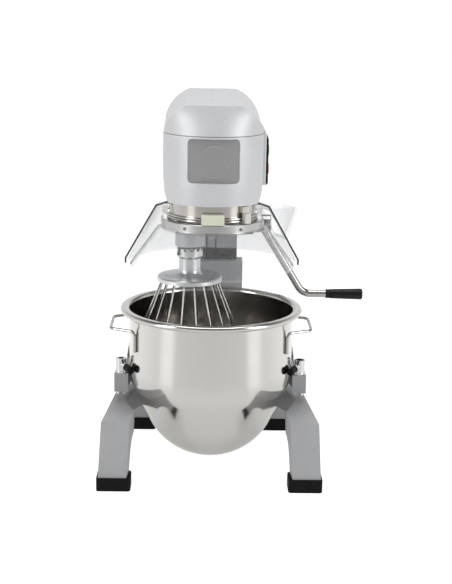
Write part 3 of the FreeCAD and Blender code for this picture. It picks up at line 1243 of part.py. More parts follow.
def pulley(radius, bore, y):
    """A flanged flat-belt pulley on an upright shaft."""
    z0, z1 = BELT_BOTTOM - 2.5, BELT_TOP + 2.5
    wheel = turned((bore, z0), (radius + 2, z0), (radius + 2, z0 + 1.5), (radius, z0 + 1.5), (radius, z1 - 1.5),
                   (radius + 2, z1 - 1.5), (radius + 2, z1), (bore, z1))
    wheel.translate(V(0, y, 0))
    return wheel


def drive_belt():
    """A flat belt round both pulleys, with a small gap to each."""
    def loop(extra):
        """The belt's line at a distance extra outside both pulleys."""
        span = MOTOR_Y - LAYSHAFT_Y
        big, small = LAYSHAFT_PULLEY_RADIUS + extra, MOTOR_PULLEY_RADIUS + extra
        lean = math.asin((big - small) / span)
        big_x, big_y = big * math.cos(lean), LAYSHAFT_Y + big * math.sin(lean)
        small_x, small_y = small * math.cos(lean), MOTOR_Y + small * math.sin(lean)
        return prism(V(0, 0, BELT_TOP - BELT_BOTTOM), plan(BELT_BOTTOM),
                     (big_x, big_y), (small_x, small_y), ((0, MOTOR_Y + small), (-small_x, small_y)),
                     (-big_x, big_y), ((0, LAYSHAFT_Y - big), (big_x, big_y)))
    belt = loop(2.6).cut(loop(0.3))
    rims = [ring(r + 2.5, r + 0.3, z, z + 1.3, 0, y) for r, y in ((LAYSHAFT_PULLEY_RADIUS, LAYSHAFT_Y),
                                                                  (MOTOR_PULLEY_RADIUS, MOTOR_Y))
            for z in (BELT_BOTTOM - 1.0, BELT_TOP - 0.3)]
    return belt.cut(rims)


def motor_case():
    body = ring(MOTOR_RADIUS, MOTOR_RADIUS - MOTOR_CASE_WALL, PLATE_TOP, MOTOR_TOP, 0, MOTOR_Y)
    seat = MOTOR_SHAFT_RADIUS + SMALL_BEARING_WALL
    lids = [ring(MOTOR_RADIUS - 2, seat, z, z + 3, 0, MOTOR_Y) for z in (PLATE_TOP, MOTOR_TOP - 3)]
    hubs = [ring(seat + 3, seat, z, z + 7, 0, MOTOR_Y) for z in (PLATE_TOP, MOTOR_TOP - 7)]
    return joined(body, *lids, *hubs)


def motor_stator():
    return ring(MOTOR_RADIUS - MOTOR_CASE_WALL, ROTOR_RADIUS + 0.5, PLATE_TOP + 16, MOTOR_TOP - 16, 0, MOTOR_Y)


def motor_rotor():
    return joined(post(MOTOR_SHAFT_RADIUS, PLATE_TOP, BELT_TOP + 4, 0, MOTOR_Y),
                  post(ROTOR_RADIUS, PLATE_TOP + 18, MOTOR_TOP - 18, 0, MOTOR_Y))


def motor_fan():
    """A small radial fan on the rotor inside the case."""
    z0 = MOTOR_TOP - 15
    hub = ring(12, MOTOR_SHAFT_RADIUS, z0, z0 + 6, 0, MOTOR_Y)
    blades = []
    for k in range(8):
        blades.append(spun(box((10, MOTOR_Y - 1, z0), (46, MOTOR_Y + 1, z0 + 5)), 45 * k, 0, MOTOR_Y))
    return joined(hub, ring(46, 11, z0 + 4.5, z0 + 6, 0, MOTOR_Y), *blades)


# ---------------------------------------------------------------- build

def build():
    os.makedirs("parts", exist_ok=True)

    save("base_casting", base_casting())
    save("rubber_feet", *feet())
    save("column", column())
    save("neck_casting", neck_casting())
    save("frame_bolts", *base_bolts(), *neck_bolts())
    save("cable_gland", cable_gland())

    save("yoke_casting", yoke_casting())
    save("locating_pins", *locating_pins())
    save("keeper_plates", *keeper_plates())
    save("lift_rack", lift_rack())

    save("lift_pinion", lift_pinion())
    save("lever_shaft", lever_shaft())
    save("lever_rod", lever_hub(), lever_rod())
    save("lever_grip", lever_grip())

    save("bowl_shell", bowl_shell())
    for name, piece in (("bowl_lugs", bowl_lug()), ("bowl_handles", bowl_handle())):
        save(name, piece, mirrored(piece))

    barrel, bar, cap = latch_parts()
    for name, place in (("right", lambda shape: shape), ("left", mirrored)):
        save("latch_" + name, place(barrel), place(bar))
        save("latch_cap_" + name, place(cap))

    housing, front_hood, rear_hood, hood_lip = head_parts()
    save("head_housing", housing)
    save("front_hood", front_hood)
    save("rear_hood", rear_hood)
    save("hood_frame", hood_lip)
    save("cover_screws", *cover_screws())
    save("front_plate", badge_plate(), badge_ring())

    save("panel_box", panel_box(head_body(-SKIN_GAP)))
    save("panel_face", panel_face(), display_window())
    for name, y, z in button_places():
        save(name, button(y, z))

    save("steel_collar", steel_collar())
    save("ring_gear", ring_gear())
    save("planet_carrier", *planet_carrier())
    save("agitator_bearings", *agitator_bearings())
    save("spindle", spindle())
    save("agitator_shaft", agitator_shaft(), cross_pin())
    save("planet_gear", planet_gear())
    save("whisk_hub", whisk_hub())
    save("whisk_wires", *whisk_wires())

    save("guard_ring", guard_ring())
    save("glide_blocks", *[glide_block(angle) for angle in (0.0, 120.0, 240.0)], magnet_holder())
    save("guard_screws", *[spun(guard_screw(), angle) for angle in GUARD_SCREW_ANGLES])
    save("guard_sensor", guard_sensor())
    save("front_guard", front_guard(), guard_catch())
    save("rear_guard", rear_guard())
    save("feed_chute", feed_chute())

    save("frame_plate", frame_plate())
    save("spindle_housing", spindle_housing())
    save("shaft_bearings", *shaft_bearings(), *lever_bushes())
    save("layshaft_bridge", layshaft_bridge())
    save("main_gear", main_gear())
    save("pinion_shaft", layshaft(), drive_pinion())
    save("layshaft_pulley", pulley(LAYSHAFT_PULLEY_RADIUS, LAYSHAFT_RADIUS, LAYSHAFT_Y))
    save("motor_pulley", pulley(MOTOR_PULLEY_RADIUS, MOTOR_SHAFT_RADIUS, MOTOR_Y))
    save("drive_belt", drive_belt())
    save("motor_case", motor_case(), motor_stator())
    save("motor_rotor", motor_rotor(), motor_fan())


build()
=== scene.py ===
# %% [markdown]
# # A bench planetary mixer, dressed for its picture
# The design of the machine comes from the workshop drawing: every casting, gear and lever is already
# there, at its real size. This lesson gives those parts their edges, their paint and their polish.
# We work in metres, and nothing that the drawing fixed is moved.

# %% Load the frame
import json
import math

import bpy
from mathutils import Matrix, Vector


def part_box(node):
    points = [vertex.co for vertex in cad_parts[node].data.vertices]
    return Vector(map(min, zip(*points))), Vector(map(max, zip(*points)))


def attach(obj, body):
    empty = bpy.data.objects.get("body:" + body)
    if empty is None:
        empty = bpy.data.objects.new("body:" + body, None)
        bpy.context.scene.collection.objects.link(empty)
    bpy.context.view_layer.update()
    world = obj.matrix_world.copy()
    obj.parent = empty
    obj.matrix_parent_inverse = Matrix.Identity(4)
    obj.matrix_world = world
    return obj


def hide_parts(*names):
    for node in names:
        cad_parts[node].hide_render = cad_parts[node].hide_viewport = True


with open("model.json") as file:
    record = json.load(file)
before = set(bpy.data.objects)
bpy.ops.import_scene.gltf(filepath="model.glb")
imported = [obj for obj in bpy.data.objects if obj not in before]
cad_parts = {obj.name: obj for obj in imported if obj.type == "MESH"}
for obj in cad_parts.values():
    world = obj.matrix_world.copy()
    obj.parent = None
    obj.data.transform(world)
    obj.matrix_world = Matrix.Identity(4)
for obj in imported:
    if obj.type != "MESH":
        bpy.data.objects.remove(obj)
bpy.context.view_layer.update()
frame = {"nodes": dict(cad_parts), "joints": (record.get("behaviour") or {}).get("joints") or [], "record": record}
joint_place = {joint["name"]: Vector(joint.get("pos_m", (0, 0, 0))) for joint in frame["joints"]}
body_of = {node: body for body, nodes in frame["record"]["behaviour"]["bodies"].items() for node in nodes}
MM = 0.001

# %% [markdown]
# ## The camera
# The machine is seen from the front and from a little above its head, looking slightly down, with a long
# lens so that the legs and the head keep their proportions. A camera looks along its own -Z, so its
# matrix is built from three directions: right, up and back.

# %% Camera
CAMERA_PLACE = Vector((-0.01745, -2.05565, 0.77219))
CAMERA_DOWN = math.radians(13.034)
CAMERA_TURN = math.radians(1.1516)
CAMERA_ROLL = math.radians(0.964)
CAMERA_LENS = 79.4
SENSOR_WIDTH = 36.0
SHEETS_DEEP = 24             # how many clear surfaces a ray may pass

forward = Vector((math.sin(CAMERA_TURN) * math.cos(CAMERA_DOWN),
                  math.cos(CAMERA_TURN) * math.cos(CAMERA_DOWN),
                  -math.sin(CAMERA_DOWN)))
level_right = Vector((math.cos(CAMERA_TURN), -math.sin(CAMERA_TURN), 0))
level_up = level_right.cross(forward)
right = level_right * math.cos(CAMERA_ROLL) + level_up * math.sin(CAMERA_ROLL)
up = level_up * math.cos(CAMERA_ROLL) - level_right * math.sin(CAMERA_ROLL)

camera_data = bpy.data.cameras.new("studio_camera")
camera_data.lens = CAMERA_LENS
camera_data.sensor_width = SENSOR_WIDTH
camera = bpy.data.objects.new("studio_camera", camera_data)
bpy.context.scene.collection.objects.link(camera)
camera.matrix_world = Matrix((
    (right.x, up.x, -forward.x, CAMERA_PLACE.x),
    (right.y, up.y, -forward.y, CAMERA_PLACE.y),
    (right.z, up.z, -forward.z, CAMERA_PLACE.z),
    (0, 0, 0, 1)))
bpy.context.scene.camera = camera
bpy.context.scene.view_settings.view_transform = "Standard"
bpy.context.scene.cycles.transparent_max_bounces = SHEETS_DEEP
print("camera at", [round(v, 3) for v in camera.location])

# %% [markdown]
# ## A small kit for materials
# Every finish below is a short chain of nodes. A few helpers keep the recipes readable: one starts a
# material, one adds a node with its values, one does arithmetic, and the others make patterns that are
# fixed to the machine. The patterns read Object coordinates, so they don't slide when a part moves.

# %% Helpers for materials
def empty_tree(holder, output_kind="OutputMaterial"):
    """The cleared node tree of a material or a world, and its output node."""
    holder.use_nodes = True
    tree = holder.node_tree
    tree.nodes.clear()
    return tree, tree.nodes.new("ShaderNode" + output_kind)


def new_material(name):
    """A material with its output and a Principled shader."""
    material = bpy.data.materials.new(name)
    tree, output = empty_tree(material)
    shader = tree.nodes.new("ShaderNodeBsdfPrincipled")
    tree.links.new(shader.outputs[0], output.inputs["Surface"])
    return material, tree, shader


def add(tree, kind, *links, **values):
    """A node with its input values, given as Name=value, and its links, given as (input, socket)."""
    node = tree.nodes.new("ShaderNode" + kind)
    for name, value in values.items():
        node.inputs[name.replace("_", " ")].default_value = value
    for name, socket in links:
        tree.links.new(socket, node.inputs[name])
    return node


def worked(tree, operation, first, second=None, clamp=False):
    """One step of arithmetic on a socket, with a second socket or a plain number."""
    node = add(tree, "Math", (0, first))
    node.operation = operation
    node.use_clamp = clamp
    if isinstance(second, float):
        node.inputs[1].default_value = second
    elif second is not None:
        tree.links.new(second, node.inputs[1])
    return node.outputs[0]


def place_of(tree, stretch=(1, 1, 1)):
    """Object coordinates in metres, stretched along the axes."""
    coordinates = add(tree, "TexCoord")
    mapping = add(tree, "Mapping", ("Vector", coordinates.outputs["Object"]))
    mapping.inputs["Scale"].default_value = stretch
    return mapping.outputs[0]


def noise(tree, size_mm, detail=2.0, stretch=(1, 1, 1)):
    """Noise whose lumps are about size_mm wide."""
    node = add(tree, "TexNoise", ("Vector", place_of(tree, stretch)), Scale=1000.0 / size_mm, Detail=detail)
    return node.outputs["Fac"]


def ranged(tree, socket, low, high, start=0.3, end=0.7):
    """A value between low and high, as the socket goes from start to end. Most noise lies in 0.3 to 0.7."""
    node = add(tree, "MapRange", ("Value", socket), From_Min=start, From_Max=end, To_Min=low, To_Max=high)
    return node.outputs[0]


def tinted(tree, socket, low, high):
    """A colour between low and high."""
    node = tree.nodes.new("ShaderNodeMix")
    node.data_type = "RGBA"
    node.inputs["A"].default_value = (*low, 1)
    node.inputs["B"].default_value = (*high, 1)
    tree.links.new(socket, node.inputs["Factor"])
    return node.outputs["Result"]


def bump(tree, shader, height, depth_mm):
    """Relief on the shader's normal, with the height socket running from 0 to depth_mm."""
    node = add(tree, "Bump", ("Height", height), Strength=1.0, Distance=depth_mm * MM)
    tree.links.new(node.outputs[0], shader.inputs["Normal"])


def length_of(tree, vector):
    """The length of a vector socket."""
    node = add(tree, "VectorMath", ("Vector", vector))
    node.operation = "LENGTH"
    return node.outputs["Value"]


def round_coordinates(tree):
    """Radius, angle and height about the bowl's axis, as one vector."""
    parts = add(tree, "SeparateXYZ", ("Vector", place_of(tree)))
    turn = worked(tree, "ARCTAN2", parts.outputs["Y"], parts.outputs["X"])
    flat = add(tree, "CombineXYZ", ("X", parts.outputs["X"]), ("Y", parts.outputs["Y"]))
    reach = length_of(tree, flat.outputs[0])
    joined = add(tree, "CombineXYZ", ("X", reach), ("Y", turn), ("Z", parts.outputs["Z"]))
    return joined.outputs[0]


RING_STRETCH = 0.004         # how little the noise changes along a ring


def lines_round(tree, size_mm):
    """Noise drawn out into fine rings, as a lathe or a polishing belt leaves."""
    mapping = add(tree, "Mapping", ("Vector", round_coordinates(tree)))
    mapping.inputs["Scale"].default_value = (1, RING_STRETCH, 1)
    node = add(tree, "TexNoise", ("Vector", mapping.outputs[0]), Scale=1000.0 / size_mm, Detail=3.0)
    return node.outputs["Fac"]


print("material helpers ready")

# %% [markdown]
# ## Paints
# The base, the column and the yoke are cast iron under a medium grey powder coat. Such a coat is never
# flat: it has a fine pebbled skin and a little metal flake in it, so its light comes back in grains. The
# head has a smoother, lighter silver lacquer. Both are one Principled shader with a fine noise for the
# flake, a second for the relief, and a slow one for the small changes over a large surface.

# %% Paint materials
def paint(name, dark, light, metallic, roughness, flake_mm, relief_mm):
    """A sprayed metallic coat: flake in the colour, and a pebbled skin."""
    material, tree, shader = new_material(name)
    flake = noise(tree, flake_mm, 1.0)
    slow = noise(tree, 60.0)
    grain = tinted(tree, ranged(tree, flake, 0, 1), dark, light)
    wash = add(tree, "HueSaturation", ("Color", grain), ("Value", ranged(tree, slow, 0.97, 1.03)))
    tree.links.new(wash.outputs[0], shader.inputs["Base Color"])
    shader.inputs["Metallic"].default_value = metallic
    tree.links.new(ranged(tree, slow, roughness - 0.04, roughness + 0.04), shader.inputs["Roughness"])
    bump(tree, shader, noise(tree, flake_mm * 1.4), relief_mm)
    return material


GREY_PAINT = paint("grey_powder_coat", (0.33, 0.335, 0.345), (0.43, 0.435, 0.445), 0.2, 0.5, 0.7, 0.03)
SILVER_PAINT = paint("silver_lacquer", (0.55, 0.56, 0.575), (0.62, 0.63, 0.645), 0.3, 0.45, 0.5, 0.006)


def plate_material():
    """The nose plate: a matt grey foil with a fine level grain."""
    material, tree, shader = new_material("nose_plate_foil")
    grain = noise(tree, 0.8, 3.0, (0.05, 1, 1))
    colour = tinted(tree, grain, (0.29, 0.29, 0.295), (0.34, 0.34, 0.345))
    tree.links.new(colour, shader.inputs["Base Color"])
    shader.inputs["Metallic"].default_value = 0.3
    tree.links.new(ranged(tree, grain, 0.42, 0.52), shader.inputs["Roughness"])
    bump(tree, shader, grain, 0.01)
    return material


NOSE_PLATE = plate_material()
print("paints", GREY_PAINT.name, SILVER_PAINT.name, NOSE_PLATE.name)

# %% [markdown]
# ## Steel, aluminium and chrome
# Polished steel is all reflection, so its look is in the fine lines that the polishing belt left. On the
# bowl they run round it. That stretches every highlight upwards into the tall soft bands that tell us
# the bowl is metal. The stretch is the shader's anisotropy, turned by a tangent about the upright axis.

# %% Metal materials
def metal(name, dark, light, roughness, size_mm, stretch=(1, 1, 1), relief_mm=0.004, spread=0.05):
    """Bare metal with a directional grain."""
    material, tree, shader = new_material(name)
    grain = noise(tree, size_mm, 3.0, stretch)
    slow = noise(tree, 25.0)
    tree.links.new(tinted(tree, grain, dark, light), shader.inputs["Base Color"])
    shader.inputs["Metallic"].default_value = 1.0
    tree.links.new(ranged(tree, slow, roughness - spread, roughness + spread), shader.inputs["Roughness"])
    bump(tree, shader, grain, relief_mm)
    return material


def turned_metal(name, dark, light, roughness, anisotropy):
    """Metal that was polished or turned round the bowl's axis."""
    material, tree, shader = new_material(name)
    lines = lines_round(tree, 0.7)
    slow = noise(tree, 40.0, 3.0)
    tree.links.new(tinted(tree, lines, dark, light), shader.inputs["Base Color"])
    shader.inputs["Metallic"].default_value = 1.0
    shader.inputs["Anisotropic"].default_value = anisotropy
    tangent = tree.nodes.new("ShaderNodeTangent")
    tangent.direction_type = "RADIAL"
    tangent.axis = "Z"
    tree.links.new(tangent.outputs[0], shader.inputs["Tangent"])
    tree.links.new(ranged(tree, slow, roughness - 0.03, roughness + 0.04), shader.inputs["Roughness"])
    bump(tree, shader, lines, 0.003)
    return material


BOWL_STEEL = turned_metal("bowl_steel", (0.615, 0.60, 0.575), (0.665, 0.65, 0.625), 0.13, 0.6)
COLLAR_STEEL = turned_metal("collar_steel", (0.50, 0.475, 0.445), (0.58, 0.555, 0.525), 0.13, 0.5)
RING_ALUMINIUM = turned_metal("turned_aluminium", (0.47, 0.465, 0.455), (0.56, 0.555, 0.545), 0.24, 0.6)
DRAWN = (1, 1, 0.05)         # a grain drawn out along Z
ROD_STEEL = metal("brushed_rod", (0.46, 0.45, 0.435), (0.52, 0.51, 0.495), 0.24, 0.5, DRAWN, 0.001)
WIRE_STEEL = metal("drawn_wire", (0.46, 0.45, 0.44), (0.54, 0.53, 0.52), 0.13, 0.4, DRAWN, 0.001)
GREASED_STEEL = metal("greased_slideway", (0.055, 0.055, 0.055), (0.16, 0.16, 0.16), 0.24, 7.0,
                      (1, 1, 0.5), 0.25, 0.1)
DARK_SCREW = metal("socket_screw", (0.10, 0.10, 0.10), (0.16, 0.16, 0.16), 0.35, 0.5)
SCREW_STEEL = metal("screw_steel", (0.48, 0.47, 0.46), (0.60, 0.59, 0.58), 0.28, 0.5)
GEAR_STEEL = metal("gear_steel", (0.34, 0.335, 0.33), (0.46, 0.455, 0.45), 0.30, 0.8)
CAST_ALUMINIUM = metal("cast_aluminium", (0.60, 0.605, 0.61), (0.72, 0.725, 0.73), 0.34, 0.9,
                       relief_mm=0.02)
CHROME = metal("chrome_plate", (0.66, 0.66, 0.67), (0.72, 0.72, 0.73), 0.08, 6.0,
               relief_mm=0.01, spread=0.03)
print("metals ready")

# %% [markdown]
# ## Rubber, plastic and the clear guard
# Moulded rubber is nearly black and quite rough, with a worn bloom on it. The guard is clear sheet: what
# we see of it is a faint veil, the reflections that grow towards its edges, and the dark cut edges, where
# we look along the inside of the sheet. A thin pane hardly bends the view, so it is made of a transparent
# shader and a glossy one, and the glossy share grows where we look along the sheet. The Fresnel node is
# not used for that, because on the back of a face it mirrors everything. The cut edges get materials of
# their own: painted shade for the dark edges, and a painted highlight for the edges that catch the light.

# %% Plastic materials
def moulded(name, dark, light, roughness, size_mm, relief_mm, soft=0.0, shine=0.5):
    """Moulded plastic or rubber with a fine grain."""
    material, tree, shader = new_material(name)
    grain = noise(tree, size_mm, 3.0)
    slow = noise(tree, 15.0)
    tree.links.new(tinted(tree, slow, dark, light), shader.inputs["Base Color"])
    tree.links.new(ranged(tree, slow, roughness - 0.06, roughness + 0.06), shader.inputs["Roughness"])
    shader.inputs["Specular IOR Level"].default_value = shine
    if soft:
        shader.inputs["Subsurface Weight"].default_value = soft
        shader.inputs["Subsurface Radius"].default_value = (0.003, 0.003, 0.002)
        shader.inputs["Subsurface Scale"].default_value = 1.0
    bump(tree, shader, grain, relief_mm)
    return material


BLACK = ((0.006, 0.006, 0.007), (0.01, 0.01, 0.011))
RUBBER = moulded("black_rubber", (0.004, 0.004, 0.004), (0.008, 0.008, 0.008), 0.6, 0.7, 0.03, shine=0.12)
GRIP_PLASTIC = moulded("black_grip", *BLACK, 0.36, 0.5, 0.01, shine=0.25)
PANEL_PLASTIC = moulded("panel_face", *BLACK, 0.2, 0.6, 0.003, shine=0.3)
NYLON = moulded("cream_nylon", (0.62, 0.64, 0.52), (0.68, 0.69, 0.58), 0.42, 0.6, 0.01, soft=0.25)
SENSOR_CAP = moulded("sensor_cap", (0.62, 0.61, 0.56), (0.72, 0.71, 0.67), 0.3, 1.2, 0.01, soft=0.4)
# The hood frame's lip shows in the seam between the hoods; its dark grey is painted shade, so the seam reads as a
# dark line.
SEAM_PAINTED_SHADE = moulded("seam_lip_painted_shade", (0.26, 0.26, 0.265), (0.32, 0.32, 0.325), 0.6, 0.7, 0.01, shine=0.3)
GREEN = moulded("green_button", (0.02, 0.26, 0.06), (0.03, 0.32, 0.08), 0.3, 0.6, 0.004)
RED = moulded("red_button", (0.42, 0.015, 0.012), (0.50, 0.02, 0.016), 0.3, 0.6, 0.004)
GREY_BUTTON = moulded("grey_button", (0.24, 0.245, 0.25), (0.29, 0.295, 0.30), 0.35, 0.6, 0.004)
WHITE_MARK = moulded("printed_mark", (0.72, 0.72, 0.72), (0.78, 0.78, 0.78), 0.5, 0.6, 0.004)
SCREEN_WIRE = moulded("screen_wire", (0.03, 0.03, 0.03), (0.06, 0.06, 0.06), 0.5, 1.6, 0.3, shine=0.3)
DISPLAY = moulded("display_window", (0.012, 0.004, 0.004), (0.02, 0.006, 0.006), 0.08, 0.8, 0.001)


FACE_ON_GLOSS = 0.035        # the share of gloss where we look straight at the sheet
EDGE_ON_GLOSS = 0.75         # and where we look along it


def sheet_plastic(name, tint, haze, sheen):
    """Clear sheet: tint is what passes, haze a faint veil of scattered light, sheen the roughness."""
    material = bpy.data.materials.new(name)
    tree, output = empty_tree(material)
    scratches = noise(tree, 1.2, 4.0)
    clear = add(tree, "BsdfTransparent", Color=(*tint, 1))
    veil = add(tree, "BsdfDiffuse", Color=(0.86, 0.87, 0.88, 1))
    gloss = add(tree, "BsdfGlossy", Color=(1, 1, 1, 1))
    tree.links.new(ranged(tree, scratches, sheen, sheen + 0.03), gloss.inputs["Roughness"])
    through = add(tree, "MixShader", (1, clear.outputs[0]), (2, veil.outputs[0]))
    tree.links.new(ranged(tree, scratches, haze * 0.7, haze * 1.3), through.inputs[0])
    slope = add(tree, "LayerWeight", Blend=0.5)
    steep = worked(tree, "POWER", slope.outputs["Facing"], 4.0)
    share = ranged(tree, steep, FACE_ON_GLOSS, EDGE_ON_GLOSS, 0, 1)
    whole = add(tree, "MixShader", (0, share), (1, through.outputs[0]), (2, gloss.outputs[0]))
    tree.links.new(whole.outputs[0], output.inputs["Surface"])
    return material


CLEAR_SHEET = sheet_plastic("clear_sheet", (0.955, 0.958, 0.96), 0.045, 0.02)
# Painted shade for the rear guard's cut edges, and a painted highlight for the front guard's.
SHEET_EDGE_PAINTED_SHADE = moulded("sheet_cut_edge_painted_shade", (0.05, 0.052, 0.055), (0.09, 0.092, 0.095), 0.25, 0.7, 0.003)
SHEET_EDGE_PAINTED_HIGHLIGHT = moulded("sheet_edge_painted_highlight", (0.36, 0.365, 0.37), (0.44, 0.445, 0.45), 0.25, 0.7, 0.003)
print("plastics ready")

# %% [markdown]
# ## Dressing the castings
# A part from the drawing has perfectly sharp edges, and real ones never are: a filed or cast edge catches
# a thin line of light. So each visible part is copied, its loose triangles are merged, its flat faces are
# joined again, and a narrow bevel goes round every edge sharper than a set angle. Weighted normals then
# keep the flat faces flat and let the bevel do the shading. The copy rides on the same body as the
# original, and the original stays hidden for the physics.

# %% Helpers for pieces
def only(piece):
    """Leaves edit mode, selects one object and makes it the active one."""
    if bpy.context.object is not None and bpy.context.object.mode != "OBJECT":
        bpy.ops.object.mode_set(mode="OBJECT")
    bpy.ops.object.select_all(action="DESELECT")
    piece.select_set(True)
    bpy.context.view_layer.objects.active = piece


def apply_modifier(piece, kind, **settings):
    """Adds a modifier with its settings and applies it."""
    only(piece)
    modifier = piece.modifiers.new(kind.lower(), kind)
    for name, value in settings.items():
        setattr(modifier, name, value)
    bpy.ops.object.modifier_apply(modifier=modifier.name)


def smoothed(piece, angle):
    """Smooth shading, except over edges sharper than the angle in degrees."""
    only(piece)
    bpy.ops.object.shade_smooth_by_angle(angle=math.radians(angle))


def soften(piece, bevel_mm, angle=35.0, segments=2):
    """A bevel on the sharp edges, then smooth shading that keeps flat faces flat."""
    if bevel_mm:
        apply_modifier(piece, "BEVEL", width=bevel_mm * MM, segments=segments, limit_method="ANGLE",
                       angle_limit=math.radians(angle), use_clamp_overlap=True)
    smoothed(piece, angle)
    if bevel_mm:
        apply_modifier(piece, "WEIGHTED_NORMAL", weight=80, keep_sharp=True)


def belong(piece, body, material):
    """The piece moves with the body and gets its material."""
    piece.data.materials.clear()
    piece.data.materials.append(material)
    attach(piece, body)


SAME_POINT = 0.002 * MM


def merged_copy(node, name):
    """A copy of a part whose loose triangles are merged, left selected in edit mode."""
    copy = bpy.data.objects.new(name, frame["nodes"][node].data.copy())
    bpy.context.scene.collection.objects.link(copy)
    only(copy)
    bpy.ops.object.mode_set(mode="EDIT")
    bpy.ops.mesh.select_all(action="SELECT")
    bpy.ops.mesh.remove_doubles(threshold=SAME_POINT)
    return copy


def dressed(node, material, bevel_mm, angle):
    """A finished copy of one part of the drawing, which it replaces."""
    piece = merged_copy(node, node + "_dressed")
    if bevel_mm:
        bpy.ops.mesh.dissolve_limited(angle_limit=math.radians(0.5))
    bpy.ops.mesh.customdata_custom_splitnormals_clear()
    bpy.ops.object.mode_set(mode="OBJECT")
    soften(piece, bevel_mm, angle)
    belong(piece, body_of[node], material)
    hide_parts(node)
    return piece


DRESSING = [
    ("base_casting", GREY_PAINT, 1.6),
    ("column", GREY_PAINT, 1.0),
    ("neck_casting", GREY_PAINT, 1.0),
    ("yoke_casting", GREY_PAINT, 1.3),
    ("head_housing", SILVER_PAINT, 0.0),
    ("front_hood", SILVER_PAINT, 0.5),
    ("rear_hood", SILVER_PAINT, 0.5),
    # the hood frame's lip: dark grey painted shade in the seam
    ("hood_frame", SEAM_PAINTED_SHADE, 0.0),
    ("panel_box", SILVER_PAINT, 0.6),
    ("panel_face", PANEL_PLASTIC, 0.3),
    ("front_plate", NOSE_PLATE, 0.4),
    ("steel_collar", COLLAR_STEEL, 0.0),
    ("planet_carrier", SILVER_PAINT, 0.0),
    ("agitator_shaft", ROD_STEEL, 0.4),
    ("guard_ring", RING_ALUMINIUM, 0.3),
    ("glide_blocks", NYLON, 0.5),
    ("guard_sensor", SENSOR_CAP, 0.6),
    ("whisk_hub", CAST_ALUMINIUM, 0.4),
    ("whisk_wires", WIRE_STEEL, 0.0),
    ("bowl_lugs", ROD_STEEL, 0.5),
    ("bowl_handles", ROD_STEEL, 0.0),
    ("latch_right", CHROME, 0.3),
    ("latch_left", CHROME, 0.3),
    ("lever_rod", ROD_STEEL, 0.0),
    ("locating_pins", SCREW_STEEL, 0.0),
    ("cover_screws", SILVER_PAINT, 0.0),
    ("guard_screws", DARK_SCREW, 0.2),
    ("frame_bolts", SCREW_STEEL, 0.4),
    ("cable_gland", GRIP_PLASTIC, 0.4),
    ("lift_rack", GREASED_STEEL, 0.2),
    ("front_guard", CLEAR_SHEET, 0.0),
    ("rear_guard", CLEAR_SHEET, 0.0),
    ("feed_chute", CLEAR_SHEET, 0.0),
]
SHARP_ANGLE = 35.0
HOOD_SHARP_ANGLE = 62.0      # the hoods' soft corners are left alone, and only their true edges are bevelled
pieces = {}
for node, material, bevel_mm in DRESSING:
    sharp = HOOD_SHARP_ANGLE if node in ("front_hood", "rear_hood") else SHARP_ANGLE
    pieces[node] = dressed(node, material, bevel_mm, sharp)
print("dressed", len(pieces), "parts,", sum(len(p.data.polygons) for p in pieces.values()), "faces")

# %% [markdown]
# ## Parts inside the machine
# Gears, bearings, the belt and the motor are seen only when the covers are off. Their shapes are right as
# drawn, so they only take their metal.

# %% Inner parts
INNER = {
    GREASED_STEEL: ("keeper_plates",),
    GEAR_STEEL: ("ring_gear", "planet_gear", "main_gear", "pinion_shaft", "lift_pinion", "lever_shaft",
                 "spindle", "agitator_bearings", "shaft_bearings", "motor_rotor"),
    CAST_ALUMINIUM: ("frame_plate", "spindle_housing", "layshaft_bridge", "layshaft_pulley", "motor_case",
                     "motor_pulley"),
    RUBBER: ("drive_belt",),
}
for material, nodes in INNER.items():
    for node in nodes:
        for place in frame["nodes"][node].material_slots:
            place.material = material
print("inner parts", sum(len(nodes) for nodes in INNER.values()))

# %% [markdown]
# ## Parts with two finishes
# Some castings carry a second finish on part of their surface. The column is bare and greased where the
# yoke slides on it, the control panel has a black surround, the nose plate has a bright ring, only the
# front glide block is nylon, and the rack's front is painted above the neck's lower edge. A part is first
# cut along a plane, which adds edges and changes no shape, and the faces beyond the plane then take the
# second material.

# %% Second finishes
def second_finish(node, material, wanted, cut_place=None, cut_normal=None):
    """Gives a second material to the faces for which wanted(face) is true, after an optional cut."""
    piece = pieces[node]
    if cut_place is not None:
        only(piece)
        bpy.ops.object.mode_set(mode="EDIT")
        bpy.ops.mesh.select_all(action="SELECT")
        bpy.ops.mesh.bisect(plane_co=cut_place, plane_no=cut_normal)
        bpy.ops.object.mode_set(mode="OBJECT")
    piece.data.materials.append(material)
    index = len(piece.data.materials) - 1
    count = 0
    for face in piece.data.polygons:
        if wanted(face):
            face.material_index = index
            count += 1
    print(node, material.name, count, "faces")


GREASED_DEPTH = 25.0 * MM
SURROUND_DEPTH = 2.2 * MM
PLATE_RING_DEPTH = 0.45 * MM
FRONT_BLOCKS_Y = -50.0 * MM  # the front glide block is nylon, and the blocks behind this line are not
MAGNET_X = 25.0 * MM         # in front, the block beyond this line is the magnet's cap

carriage_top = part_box("yoke_casting")[1].z
greased_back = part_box("column")[0].y + GREASED_DEPTH
second_finish("column", GREASED_STEEL,
              lambda face: face.center.z > carriage_top and face.center.y < greased_back,
              (0, 0, carriage_top), (0, 0, 1))
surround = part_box("panel_box")[1].x - SURROUND_DEPTH
second_finish("panel_box", PANEL_PLASTIC, lambda face: face.center.x > surround,
              (surround, 0, 0), (1, 0, 0))
plate_ring_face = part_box("front_plate")[0].y + PLATE_RING_DEPTH
second_finish("front_plate", CHROME, lambda face: face.center.y < plate_ring_face)
second_finish("glide_blocks", RING_ALUMINIUM, lambda face: face.center.y > FRONT_BLOCKS_Y)
second_finish("glide_blocks", SENSOR_CAP,
              lambda face: face.center.y < FRONT_BLOCKS_Y and face.center.x > MAGNET_X)
neck_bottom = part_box("neck_casting")[0].z
second_finish("lift_rack", GREY_PAINT, lambda face: face.normal.y < -0.9 and face.center.z > neck_bottom,
              (0, 0, neck_bottom), (0, 0, 1))
